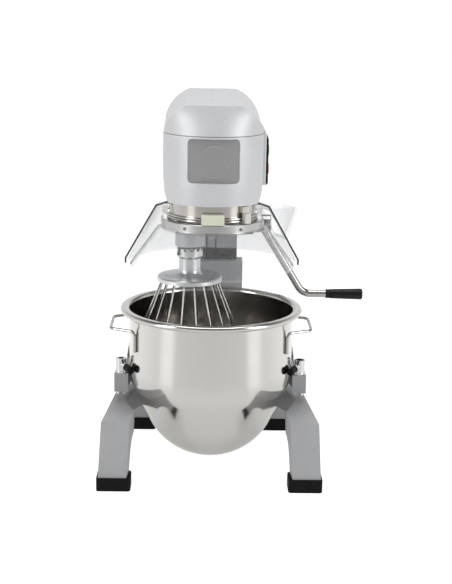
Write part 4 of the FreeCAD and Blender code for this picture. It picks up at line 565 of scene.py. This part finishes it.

# %% [markdown]
# ## The cut edges of the guard
# The front and the rear guard meet in one upright plane through the bowl's axis. The faces that lie in
# that plane are the sawn edges of the sheet. The rear guard's get painted shade, nearly black, for the dark
# we see into the sheet there, and the front guard's get a light grey painted highlight, for the light they catch.

# %% Guard edges
CUT_TOLERANCE = 0.5 * MM
for node in ("front_guard", "rear_guard"):
    guard = pieces[node]
    # painted shade on the rear guard's cut edges, a painted highlight on the front guard's
    guard.data.materials.append(SHEET_EDGE_PAINTED_SHADE if node == "rear_guard" else SHEET_EDGE_PAINTED_HIGHLIGHT)
    cut = 0
    for face in guard.data.polygons:
        if abs(face.center.y) < CUT_TOLERANCE and abs(face.normal.y) > 0.99:
            face.material_index = 1
            cut += 1
    print(node, "cut faces", cut)

# %% [markdown]
# ## The bowl
# The bowl is spun from one disc of steel, so it is modelled in the same way: half of its section is drawn
# point by point, and then turned about the upright axis. The section goes up the outside, round the hollow
# rolled rim, and down the inside. A spin gives clean rings of quads, and clean quads give clean
# reflections.

# %% Helper for turned pieces
def spun_piece(name, profile, steps):
    """A piece turned about the Z axis from a line of (radius, height), both in metres."""
    bpy.ops.object.select_all(action="DESELECT")
    bpy.ops.mesh.primitive_plane_add(size=0.001, location=(0, 0, 0))
    piece = bpy.context.object
    piece.name = name
    bpy.ops.object.mode_set(mode="EDIT")
    bpy.ops.mesh.select_mode(type="VERT")
    bpy.ops.mesh.select_all(action="SELECT")
    bpy.ops.mesh.merge(type="CENTER")
    radius, height = profile[0]
    bpy.ops.transform.translate(value=(radius, 0, height))
    for (radius, height), (next_radius, next_height) in zip(profile, profile[1:]):
        step = (next_radius - radius, 0, next_height - height)
        bpy.ops.mesh.extrude_region_move(TRANSFORM_OT_translate={"value": step})
    bpy.ops.mesh.select_all(action="SELECT")
    bpy.ops.mesh.spin(steps=steps, angle=2 * math.pi, center=(0, 0, 0), axis=(0, 0, 1))
    bpy.ops.mesh.select_all(action="SELECT")
    bpy.ops.mesh.remove_doubles(threshold=0.01 * MM)
    bpy.ops.mesh.normals_make_consistent(inside=False)
    bpy.ops.object.mode_set(mode="OBJECT")
    return piece


def arc(centre, radius, start, end, count):
    """Points on an arc in the section, angles in degrees from the outward direction."""
    angles = [math.radians(start + (end - start) * k / count) for k in range(count + 1)]
    return [(centre[0] + radius * math.cos(a), centre[1] + radius * math.sin(a)) for a in angles]


def smooth_line(points, count):
    """A soft curve through three points: a quadratic that starts and ends on the outer two."""
    (x0, y0), (x1, y1), (x2, y2) = points
    cx, cy = 2 * x1 - (x0 + x2) / 2, 2 * y1 - (y0 + y2) / 2
    line = []
    for k in range(count + 1):
        t = k / count
        line.append(((1 - t) ** 2 * x0 + 2 * t * (1 - t) * cx + t * t * x2,
                     (1 - t) ** 2 * y0 + 2 * t * (1 - t) * cy + t * t * y2))
    return line


# %% Bowl shell
BOWL_WALL = 1.2 * MM
RIM_ROLL = 4.5 * MM
BOTTOM_ANGLE = 61.0
SLANT_INSET = 11.0 * MM
SLANT_TOP = 128.0 * MM
SHOULDER_UP = 22.0 * MM
SHOULDER_INSET = SLANT_INSET * 0.27
WALL_UP = 46.0 * MM
RIM_WIDTH = 14.4 * MM
RIM_CORNER = 6.0 * MM
ROLL_LIP = 2.5 * MM
BOTTOM_STEP = 20.6 * MM      # how much smaller the bottom's radius is than the wall's
bowl_low, bowl_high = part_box("bowl_shell")
rim_radius = bowl_high.x
bowl_outer = rim_radius - RIM_WIDTH
bottom_radius = bowl_outer - BOTTOM_STEP


def bowl_line(inset):
    """The wall's line from the axis up to the straight wall, inset from the outside."""
    radius = bottom_radius - inset
    centre = (0.0, bowl_low.z + bottom_radius)
    line = arc(centre, radius, -90, BOTTOM_ANGLE - 90, 28)
    line[0] = (0.0, line[0][1])
    slant = (bowl_outer - SLANT_INSET - inset, SLANT_TOP + inset * 0.4)
    shoulder = (bowl_outer - SHOULDER_INSET - inset, SLANT_TOP + SHOULDER_UP)
    wall = (bowl_outer - inset, SLANT_TOP + WALL_UP)
    line += [tuple(a + (b - a) * k / 6 for a, b in zip(line[-1], slant)) for k in range(1, 6)]
    return line + smooth_line([slant, shoulder, wall], 10)


def rim_line():
    """From the outer wall round the hollow roll to the inner wall."""
    top = bowl_high.z
    corner_height = top - RIM_CORNER
    roll_centre = (rim_radius - RIM_ROLL, top - RIM_ROLL)
    roll_bottom = top - 2 * RIM_ROLL
    small = RIM_CORNER - BOWL_WALL
    line = [(bowl_outer, corner_height)]
    line += arc((bowl_outer + small, corner_height), small, 180, 90, 6)[1:]
    line += arc(roll_centre, RIM_ROLL - BOWL_WALL, 90, -90, 12)
    line += [(bowl_outer + ROLL_LIP, roll_bottom + BOWL_WALL), (bowl_outer + ROLL_LIP, roll_bottom)]
    line += arc(roll_centre, RIM_ROLL, -90, 90, 18)
    line += arc((bowl_outer + small, corner_height), RIM_CORNER, 90, 180, 8)
    return line


bowl = spun_piece("mixing_bowl", bowl_line(0.0) + rim_line() + bowl_line(BOWL_WALL)[::-1], 160)
smoothed(bowl, 50)
belong(bowl, "bowl", BOWL_STEEL)
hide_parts("bowl_shell")
print("bowl", len(bowl.data.polygons), "faces, rim radius", round(rim_radius, 4))

# %% [markdown]
# ## Turned and moulded small pieces
# The grip, the rubber caps, the buttons and the screws are all turned shapes. Each is drawn as half a
# section and spun, then laid in its place. The place is put into the mesh, so that the piece's own origin
# stays at the machine's origin.

# %% Helper that lays a turned piece in place
def laid(piece, point, direction):
    """Turns a piece drawn along +Z so that it starts at point and runs along direction."""
    turn = Vector((0, 0, 1)).rotation_difference(Vector(direction)).to_matrix().to_4x4()
    piece.matrix_world = Matrix.Translation(point) @ turn
    only(piece)
    bpy.ops.object.transform_apply(location=True, rotation=True, scale=True)
    return piece


# %% [markdown]
# ## The lever's grip
# The grip is moulded plastic, with a collar at the rod's end, a body that swells slowly towards the
# hand, and a rounded end with a shallow hollow in it.

# %% Lever grip
COLLAR_END = 6.4 * MM
GRIP_NECK = 8.3 * MM         # the body's radius where it leaves the collar
GRIP_ROUND = 3.0 * MM
GRIP_HOLLOW = 2.5 * MM
TAPER_STEPS = 8

grip_low, grip_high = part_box("lever_grip")
grip_axis = (grip_low + grip_high) / 2
grip_length = grip_high.x - grip_low.x
grip_end = (grip_high.z - grip_low.z) / 2
body_length = grip_length - COLLAR_END - GRIP_ROUND
grip_line = [(0, 0), (6.9 * MM, 0), (8.0 * MM, 0.5 * MM), (8.2 * MM, 1.4 * MM), (8.2 * MM, 4.6 * MM),
             (7.8 * MM, 5.2 * MM), (7.8 * MM, 5.8 * MM), (GRIP_NECK, COLLAR_END)]
for k in range(1, TAPER_STEPS + 1):
    share = k / TAPER_STEPS
    swell = GRIP_NECK + (grip_end - GRIP_NECK) * share ** 0.8
    grip_line.append((swell, COLLAR_END + body_length * share))
grip_line += arc((grip_end - GRIP_ROUND, grip_length - GRIP_ROUND), GRIP_ROUND, 0, 80, 6)
grip_line += [(4.2 * MM, grip_length), (3.8 * MM, grip_length - 0.3 * MM),
              (3.6 * MM, grip_length - GRIP_HOLLOW), (0, grip_length - GRIP_HOLLOW)]
grip = laid(spun_piece("lever_handgrip", grip_line, 48), (grip_low.x, grip_axis.y, grip_axis.z), (1, 0, 0))
smoothed(grip, 40)
belong(grip, "lever", GRIP_PLASTIC)
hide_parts("lever_grip")
print("grip length", round(grip_length, 4))

# %% [markdown]
# ## The latches' caps
# A soft rubber cap is pushed over the end of each latch rod. It points away from the latch's pivot, so its
# direction is worked out from the joint's place.

# %% Latch caps
CAP_LENGTH = 25.0 * MM
CAP_RADIUS = 6.0 * MM
CAP_ROUND = 3.4 * MM
CAP_RECESS = 0.6 * MM
ROD_HOLE = 3.6 * MM
CAP_RISE = 1.5 * MM
for side, body in (("right", "right_latch"), ("left", "left_latch")):
    cap_low, cap_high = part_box("latch_cap_" + side)
    middle = (cap_low + cap_high) / 2
    pivot = joint_place[body + "_turn"]
    along = Vector((middle.x - pivot.x, middle.y - pivot.y, CAP_RISE)).normalized()
    line = [(0, CAP_RECESS), (ROD_HOLE, CAP_RECESS), (ROD_HOLE, 0), (5.2 * MM, 0), (5.9 * MM, 0.7 * MM),
            (5.9 * MM, 2.6 * MM), (5.4 * MM, 3.2 * MM), (5.3 * MM, 5.0 * MM), (5.6 * MM, 9.0 * MM),
            (CAP_RADIUS, 15.0 * MM)]
    line += arc((CAP_RADIUS - CAP_ROUND, CAP_LENGTH - CAP_ROUND), CAP_ROUND, 0, 90, 8)
    line += [(0, CAP_LENGTH)]
    cap = laid(spun_piece("latch_knob_" + side, line, 32), middle - along * CAP_LENGTH / 2, along)
    smoothed(cap, 40)
    belong(cap, body, RUBBER)
    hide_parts("latch_cap_" + side)
print("latch caps done")

# %% [markdown]
# ## Rubber feet
# Each foot is a moulded boot that a leg is pressed into. It starts as a cube of the boot's size. The
# underside gets a recessed tread by four insets, then the upright edges are rounded, and a small bevel
# softens the rest. The insets come first, because they need a plain square face.

# %% Rubber feet
def face_picker(piece, wanted):
    """Selects the faces for which wanted(face) is true, and stays in edit mode."""
    only(piece)
    bpy.ops.object.mode_set(mode="EDIT")
    bpy.ops.mesh.select_mode(type="FACE")
    bpy.ops.mesh.select_all(action="DESELECT")
    bpy.ops.object.mode_set(mode="OBJECT")
    for face in piece.data.polygons:
        face.select = wanted(face)
    bpy.ops.object.mode_set(mode="EDIT")


def edge_picker(piece, wanted):
    """Selects the edges for which wanted(first, second) is true, and stays in edit mode."""
    only(piece)
    bpy.ops.object.mode_set(mode="EDIT")
    bpy.ops.mesh.select_mode(type="EDGE")
    bpy.ops.mesh.select_all(action="DESELECT")
    bpy.ops.object.mode_set(mode="OBJECT")
    points = piece.data.vertices
    for edge in piece.data.edges:
        edge.select = wanted(points[edge.vertices[0]].co, points[edge.vertices[1]].co)
    bpy.ops.object.mode_set(mode="EDIT")


def block(name, low, high):
    """A cube stretched between two corners, with its place in its mesh."""
    bpy.ops.object.select_all(action="DESELECT")
    low, high = Vector(low), Vector(high)
    bpy.ops.mesh.primitive_cube_add(size=1.0, location=(low + high) / 2)
    piece = bpy.context.object
    piece.name = name
    piece.scale = high - low
    bpy.ops.object.transform_apply(location=True, rotation=True, scale=True)
    return piece


def runs_along(axis, least=0.0):
    """A test for edges along one axis (0, 1 or 2) that are longer than the least length."""
    across = [k for k in range(3) if k != axis]

    def wanted(first, second):
        straight = sum(abs(first[k] - second[k]) for k in across) < SAME_POINT / 2
        return straight and abs(first[axis] - second[axis]) > least

    return wanted


def one_piece(name, parts):
    """Joins the parts into the first of them, under a new name."""
    bpy.ops.object.select_all(action="DESELECT")
    for part in parts:
        part.select_set(True)
    bpy.context.view_layer.objects.active = parts[0]
    if len(parts) > 1:
        bpy.ops.object.join()
    parts[0].name = name
    return parts[0]


def separate_boxes(node):
    """The corners of each loose part of a node, found by splitting a copy of it."""
    merged_copy(node, "splitter")
    bpy.ops.mesh.separate(type="LOOSE")
    bpy.ops.object.mode_set(mode="OBJECT")
    boxes = []
    for part in list(bpy.context.selected_objects):
        corners = [Vector(corner) for corner in part.bound_box]
        boxes.append((Vector(map(min, zip(*corners))), Vector(map(max, zip(*corners)))))
        bpy.data.objects.remove(part)
    return boxes


FOOT_CORNER = 5.0 * MM
TREAD = [(5.0, 0.0), (1.0, -2.0), (6.0, 0.0), (1.0, 2.0)]   # insets of the underside: width, depth in mm

feet = []
for number, (low, high) in enumerate(separate_boxes("rubber_feet")):
    foot = block("foot_%d" % number, low, high)
    face_picker(foot, lambda face: face.normal.z < -0.9)
    for width, depth in TREAD:
        bpy.ops.mesh.inset(thickness=width * MM, depth=depth * MM)
    edge_picker(foot, runs_along(2, (high.z - low.z) * 0.9))
    bpy.ops.mesh.bevel(offset=FOOT_CORNER, offset_type="OFFSET", segments=5, affect="EDGES")
    bpy.ops.object.mode_set(mode="OBJECT")
    soften(foot, 1.4, 50.0, 3)
    feet.append(foot)
boots = one_piece("rubber_boots", feet)
belong(boots, "frame", RUBBER)
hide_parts("rubber_feet")
print("feet", len(boots.data.polygons), "faces")

# %% [markdown]
# ## The control panel
# Four push buttons sit in round wells: start, stop, faster and slower. They stand a little proud of the
# face, and are flush with it when pressed. Each cap is turned with a shallow dish for the finger. The
# marks on them are the plain signs that any machine has.

# %% Push buttons
BUTTONS = {"start": GREEN, "stop": RED, "speed_up": GREY_BUTTON, "speed_down": GREY_BUTTON}
MARK_LIFT = 0.12 * MM
MARK_ROOT = 0.3 * MM
DISH = 0.7 * MM
CAP_EDGE = 0.8 * MM
DISH_SHARES = (0.75, 0.6, 0.45, 0.3, 0.15)
LONG_BAR = 6.4 * MM
SHORT_BAR = 1.3 * MM
BARS = {
    "start": [(SHORT_BAR, LONG_BAR)],
    "stop": [],
    "speed_up": [(LONG_BAR, SHORT_BAR), (SHORT_BAR, LONG_BAR)],
    "speed_down": [(LONG_BAR, SHORT_BAR)],
}


def ring(radius, thickness, centre, around, across):
    """A torus that lies flat on the panel."""
    bpy.ops.object.select_all(action="DESELECT")
    bpy.ops.mesh.primitive_torus_add(
        major_radius=radius, minor_radius=thickness, major_segments=around, minor_segments=across,
        location=centre, rotation=(0, math.pi / 2, 0))
    bpy.ops.object.transform_apply(location=True, rotation=True, scale=True)
    return bpy.context.object


for name, material in BUTTONS.items():
    low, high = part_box(name + "_button")
    centre = (low + high) / 2
    radius = (high.y - low.y) / 2
    length = high.x - low.x
    line = [(0, 0), (radius, 0), (radius, length - CAP_EDGE)]
    line += arc((radius - CAP_EDGE, length - CAP_EDGE), CAP_EDGE, 15, 90, 5)
    line += [(radius * share, length - DISH * (1 - share ** 2)) for share in DISH_SHARES]
    line += [(0, length - DISH)]
    cap = laid(spun_piece(name + "_cap", line, 48), (low.x, centre.y, centre.z), (1, 0, 0))
    smoothed(cap, 40)
    belong(cap, name, material)
    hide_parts(name + "_button")
    surface = high.x - DISH
    signs = []
    if name == "stop":
        signs.append(ring(3.0 * MM, 0.6 * MM, (surface, centre.y, centre.z), 40, 8))
    for wide, tall in BARS[name]:
        signs.append(block("bar", (surface - MARK_ROOT, centre.y - wide / 2, centre.z - tall / 2),
                           (surface + MARK_LIFT, centre.y + wide / 2, centre.z + tall / 2)))
    sign = one_piece(name + "_sign", signs)
    soften(sign, 0.05, 40.0, 1)
    belong(sign, name, WHITE_MARK)
print("buttons", len(BUTTONS))

# %% [markdown]
# ## Bezels and display
# A thin chromed ring frames each button's well, and a dark window covers the display. The rings are
# joined into one piece, because they never move apart. The window is only a second finish on the face.

# %% Panel bezels and display
BEZEL_OUT = 1.1 * MM
BEZEL_THICKNESS = 0.45 * MM
WINDOW_DEPTH = 0.1 * MM

panel_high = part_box("panel_face")[1]
bezels = []
for name in BUTTONS:
    low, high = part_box(name + "_button")
    centre = (low + high) / 2
    bezels.append(ring((high.y - low.y) / 2 + BEZEL_OUT, BEZEL_THICKNESS,
                       (panel_high.x, centre.y, centre.z), 64, 10))
bezel = one_piece("button_bezels", bezels)
only(bezel)
bpy.ops.object.shade_smooth()
belong(bezel, "frame", CHROME)
second_finish("panel_face", DISPLAY,
              lambda face: face.normal.x > 0.99 and face.center.x < panel_high.x - WINDOW_DEPTH)

# %% [markdown]
# ## The small parts that finish the machine
# A machine looks real through its small parts: the rim around the nose plate, the screws in the whisk's
# disc, the fine screen behind the cooling slots and the riveted rating plate. Each starts as a block or a
# turned section of its real size. The rating plate is left blank.

# %% Rim of the nose plate
RIM_OUT = 1.8 * MM
RIM_FRONT = 0.9 * MM         # how far the rim stands before the plate's front
RIM_THICKNESS = 3.0 * MM
RIM_SINK = 2.2 * MM
RIM_CORNER_RADIUS = 8.6 * MM

plate_low, plate_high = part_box("front_plate")
rim_front = plate_low.y - RIM_FRONT
rim = block("nose_plate_rim", (plate_low.x - RIM_OUT, rim_front, plate_low.z - RIM_OUT),
            (plate_high.x + RIM_OUT, rim_front + RIM_THICKNESS, plate_high.z + RIM_OUT))
edge_picker(rim, runs_along(1))
bpy.ops.mesh.bevel(offset=RIM_CORNER_RADIUS, offset_type="OFFSET", segments=8, affect="EDGES")
face_picker(rim, lambda face: face.normal.y < -0.9)
bpy.ops.mesh.inset(thickness=RIM_OUT)
bpy.ops.transform.translate(value=(0, RIM_SINK, 0))
bpy.ops.object.mode_set(mode="OBJECT")
soften(rim, 0.35, 35.0, 3)
belong(rim, "frame", SILVER_PAINT)
print("nose plate rim", len(rim.data.polygons), "faces")

# %% Screws in the whisk's disc
DISC_SCREW_REACH = 38.0 * MM
DISC_FACE = 0.324
SCREW_HEAD = 1.4 * MM
SCREW_ROUND = 0.7 * MM
SCREW_HEAD_RADIUS = 2.6 * MM

whisk_axis = joint_place["whisk_twist"]
screw_line = [(0, -1.5 * MM), (SCREW_HEAD_RADIUS, -1.5 * MM), (SCREW_HEAD_RADIUS, 0.6 * MM)]
screw_line += arc((SCREW_HEAD_RADIUS - SCREW_ROUND, SCREW_HEAD - SCREW_ROUND), SCREW_ROUND, 0, 90, 4)
screw_line += [(1.5 * MM, SCREW_HEAD), (1.5 * MM, 0.2 * MM), (0, 0.2 * MM)]
for number, degrees in enumerate((188.0, 24.0)):
    angle = math.radians(degrees)
    reach = Vector((math.cos(angle), math.sin(angle), 0)) * DISC_SCREW_REACH
    screw = laid(spun_piece("disc_screw_%d" % number, screw_line, 24),
                 (whisk_axis.x + reach.x, whisk_axis.y + reach.y, DISC_FACE), (0, 0, 1))
    smoothed(screw, 35)
    belong(screw, "whisk", SCREW_STEEL)
print("whisk axis", [round(v, 4) for v in whisk_axis])

# %% Screen behind the cooling slots
SCREEN_HALF = 50.0 * MM
SCREEN_FRONT, SCREEN_BACK = 0.2990, 0.3005
SCREEN_BOTTOM, SCREEN_TOP = 0.468, 0.552

screen = block("cooling_screen", (-SCREEN_HALF, SCREEN_FRONT, SCREEN_BOTTOM),
               (SCREEN_HALF, SCREEN_BACK, SCREEN_TOP))
face_picker(screen, lambda face: abs(face.normal.y) > 0.9)
bpy.ops.mesh.subdivide(number_cuts=1)
bpy.ops.object.mode_set(mode="OBJECT")
soften(screen, 0.3)
belong(screen, "frame", SCREEN_WIRE)
print("screen", len(screen.data.polygons), "faces")

# %% Rating plate
PLATE_HALF = 28.0 * MM
PLATE_BOTTOM, PLATE_TOP = 0.225, 0.262
PLATE_ROOT = 0.2 * MM
PLATE_LIFT = 0.6 * MM
RIVET_INSET = 3.5 * MM
RIVET_RADIUS = 1.5 * MM
RIVET_START = 0.5 * MM

column_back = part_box("column")[1].y
plate = block("rating_plate", (-PLATE_HALF, column_back - PLATE_ROOT, PLATE_BOTTOM),
              (PLATE_HALF, column_back + PLATE_LIFT, PLATE_TOP))
edge_picker(plate, runs_along(1))
bpy.ops.mesh.bevel(offset=2.5 * MM, offset_type="OFFSET", segments=4, affect="EDGES")
bpy.ops.object.mode_set(mode="OBJECT")
soften(plate, 0.15)
belong(plate, "frame", CAST_ALUMINIUM)
rivet_line = [(0, 0)] + arc((0, 0), RIVET_RADIUS, 0, 80, 6) + [(0, RIVET_RADIUS)]
rivet_places = [(side * (PLATE_HALF - RIVET_INSET), z)
                for z in (PLATE_BOTTOM + RIVET_INSET, PLATE_TOP - RIVET_INSET) for side in (-1, 1)]
for number, (x, z) in enumerate(rivet_places):
    rivet = spun_piece("plate_rivet_%d" % number, rivet_line, 20)
    laid(rivet, (x, column_back + RIVET_START, z), (0, 1, 0))
    only(rivet)
    bpy.ops.object.shade_smooth()
    belong(rivet, "frame", SCREW_STEEL)
print("rivets", len(rivet_places))

# %% [markdown]
# ## The floor, the backdrop and the light
# The machine stands on a plain white floor under soft studio light. Two tall soft boxes stand to the left
# and the right of the camera, and a third hangs over the machine. The world is white where the camera or
# the guard looks through to it. A mirror finish would look burnt out if all it saw was white, so for
# reflections the sky gets darker overhead, like the ceiling of a studio.

# %% Reflected surroundings
# The share of a half turn from straight ahead, and how bright the studio is there.
STUDIO_STOPS = [(0.0, 0.37), (0.25, 0.42), (0.29, 0.88), (0.35, 0.88), (0.40, 0.54), (0.6, 0.78), (1.0, 0.85)]


def studio_level(tree, direction):
    """How bright the studio is in a level direction: dim ahead, two bright strips, light behind."""
    axes = add(tree, "SeparateXYZ", ("Vector", direction))
    ahead = worked(tree, "MULTIPLY", axes.outputs["Y"], -1.0)
    turn = worked(tree, "ARCTAN2", axes.outputs["X"], ahead)
    share = worked(tree, "DIVIDE", worked(tree, "ABSOLUTE", turn), math.pi)
    ramp = add(tree, "ValToRGB", (0, share))
    stops = ramp.color_ramp.elements
    for place, level in STUDIO_STOPS[1:-1]:
        stops.new(place)
    for stop, (place, level) in zip(stops, STUDIO_STOPS):
        stop.position = place
        stop.color = (level, level, level, 1)
    return ramp.outputs[0]


print("studio stops", len(STUDIO_STOPS))

# %% Floor
FLOOR_NEAR = 0.25            # within this reach a mirror finish sees a grey floor, as in shade,
FLOOR_FAR = 0.7              # and beyond this one it sees the studio

bpy.ops.object.select_all(action="DESELECT")
bpy.ops.mesh.primitive_plane_add(size=30.0, location=(0, 0, 0))
floor = bpy.context.object
floor.name = "studio_floor"
floor_material = bpy.data.materials.new("studio_floor")
tree, output = empty_tree(floor_material)
rays = add(tree, "LightPath")
seen = worked(tree, "ADD", rays.outputs["Is Camera Ray"], rays.outputs["Is Glossy Ray"])
seen_through = worked(tree, "ADD", seen, rays.outputs["Is Transmission Ray"], clamp=True)
lit = add(tree, "BsdfDiffuse", Color=(0.8, 0.8, 0.8, 1))
faint = add(tree, "BsdfDiffuse", Color=(0.4, 0.4, 0.4, 1))
place = place_of(tree)
# Near the machine, reflections see the floor plain grey: a painted shadow of the machine that fades out towards
# the studio.
floor_shade_share = ranged(tree, length_of(tree, place), 1, 0, FLOOR_NEAR, FLOOR_FAR)
level = tree.nodes.new("ShaderNodeMix")
level.data_type = "RGBA"
level.inputs["B"].default_value = (0.5, 0.5, 0.5, 1)
tree.links.new(floor_shade_share, level.inputs["Factor"])
tree.links.new(studio_level(tree, place), level.inputs["A"])
mirrored = add(tree, "Emission", ("Color", level.outputs["Result"]), Strength=0.92)
plain = add(tree, "Emission", Color=(1, 1, 1, 1), Strength=0.9)
glow = add(tree, "MixShader", (0, rays.outputs["Is Glossy Ray"]), (1, plain.outputs[0]),
           (2, mirrored.outputs[0]))
shown = add(tree, "AddShader", (0, glow.outputs[0]), (1, faint.outputs[0]))
chosen = add(tree, "MixShader", (0, seen_through), (1, lit.outputs[0]), (2, shown.outputs[0]))
tree.links.new(chosen.outputs[0], output.inputs["Surface"])
floor.data.materials.append(floor_material)
print("floor", floor.name)

# %% World
world = bpy.data.worlds.new("studio")
bpy.context.scene.world = world
tree, output = empty_tree(world, "OutputWorld")
rays = add(tree, "LightPath")
direction = add(tree, "TexCoord")
axes = add(tree, "SeparateXYZ", ("Vector", direction.outputs["Generated"]))
ceiling = ranged(tree, axes.outputs["Z"], 1, 0.08, 0.30, 0.75)
level = add(tree, "VectorMath", (0, studio_level(tree, direction.outputs["Generated"])), (1, ceiling))
level.operation = "MULTIPLY"
white = worked(tree, "ADD", rays.outputs["Is Camera Ray"], rays.outputs["Is Transmission Ray"], clamp=True)
sky = add(tree, "Background", ("Color", level.outputs[0]), Strength=1.0)
ambient = add(tree, "Background", Color=(1, 1, 1, 1), Strength=0.42)
bright = add(tree, "Background", Color=(1, 1, 1, 1), Strength=1.0)
mirrored = add(tree, "MixShader", (0, rays.outputs["Is Glossy Ray"]), (1, ambient.outputs[0]),
               (2, sky.outputs[0]))
final = add(tree, "MixShader", (0, white), (1, mirrored.outputs[0]), (2, bright.outputs[0]))
tree.links.new(final.outputs[0], output.inputs["Surface"])
print("world", world.name)


# %% Lamps
def soft_box(name, place, aim, size, watts):
    """A rectangular lamp that faces a point."""
    data = bpy.data.lights.new(name, "AREA")
    data.shape = "RECTANGLE"
    data.size, data.size_y = size
    data.energy = watts
    lamp = bpy.data.objects.new(name, data)
    bpy.context.scene.collection.objects.link(lamp)
    lamp.location = place
    lamp.rotation_euler = (Vector(aim) - Vector(place)).to_track_quat("-Z", "Y").to_euler()


LAMP_AZIMUTH = math.radians(60)
LAMP_DISTANCE = 2.4
for side in (-1, 1):
    lamp_place = (side * LAMP_DISTANCE * math.sin(LAMP_AZIMUTH), -LAMP_DISTANCE * math.cos(LAMP_AZIMUTH), 1.2)
    soft_box("soft_box_%d" % (side + 1), lamp_place, (0, 0, 0.35), (0.8, 2.2), 26)
soft_box("top_box", (0, 0.1, 2.6), (0, 0, 0.3), (2.0, 2.0), 36)
print("light ready")
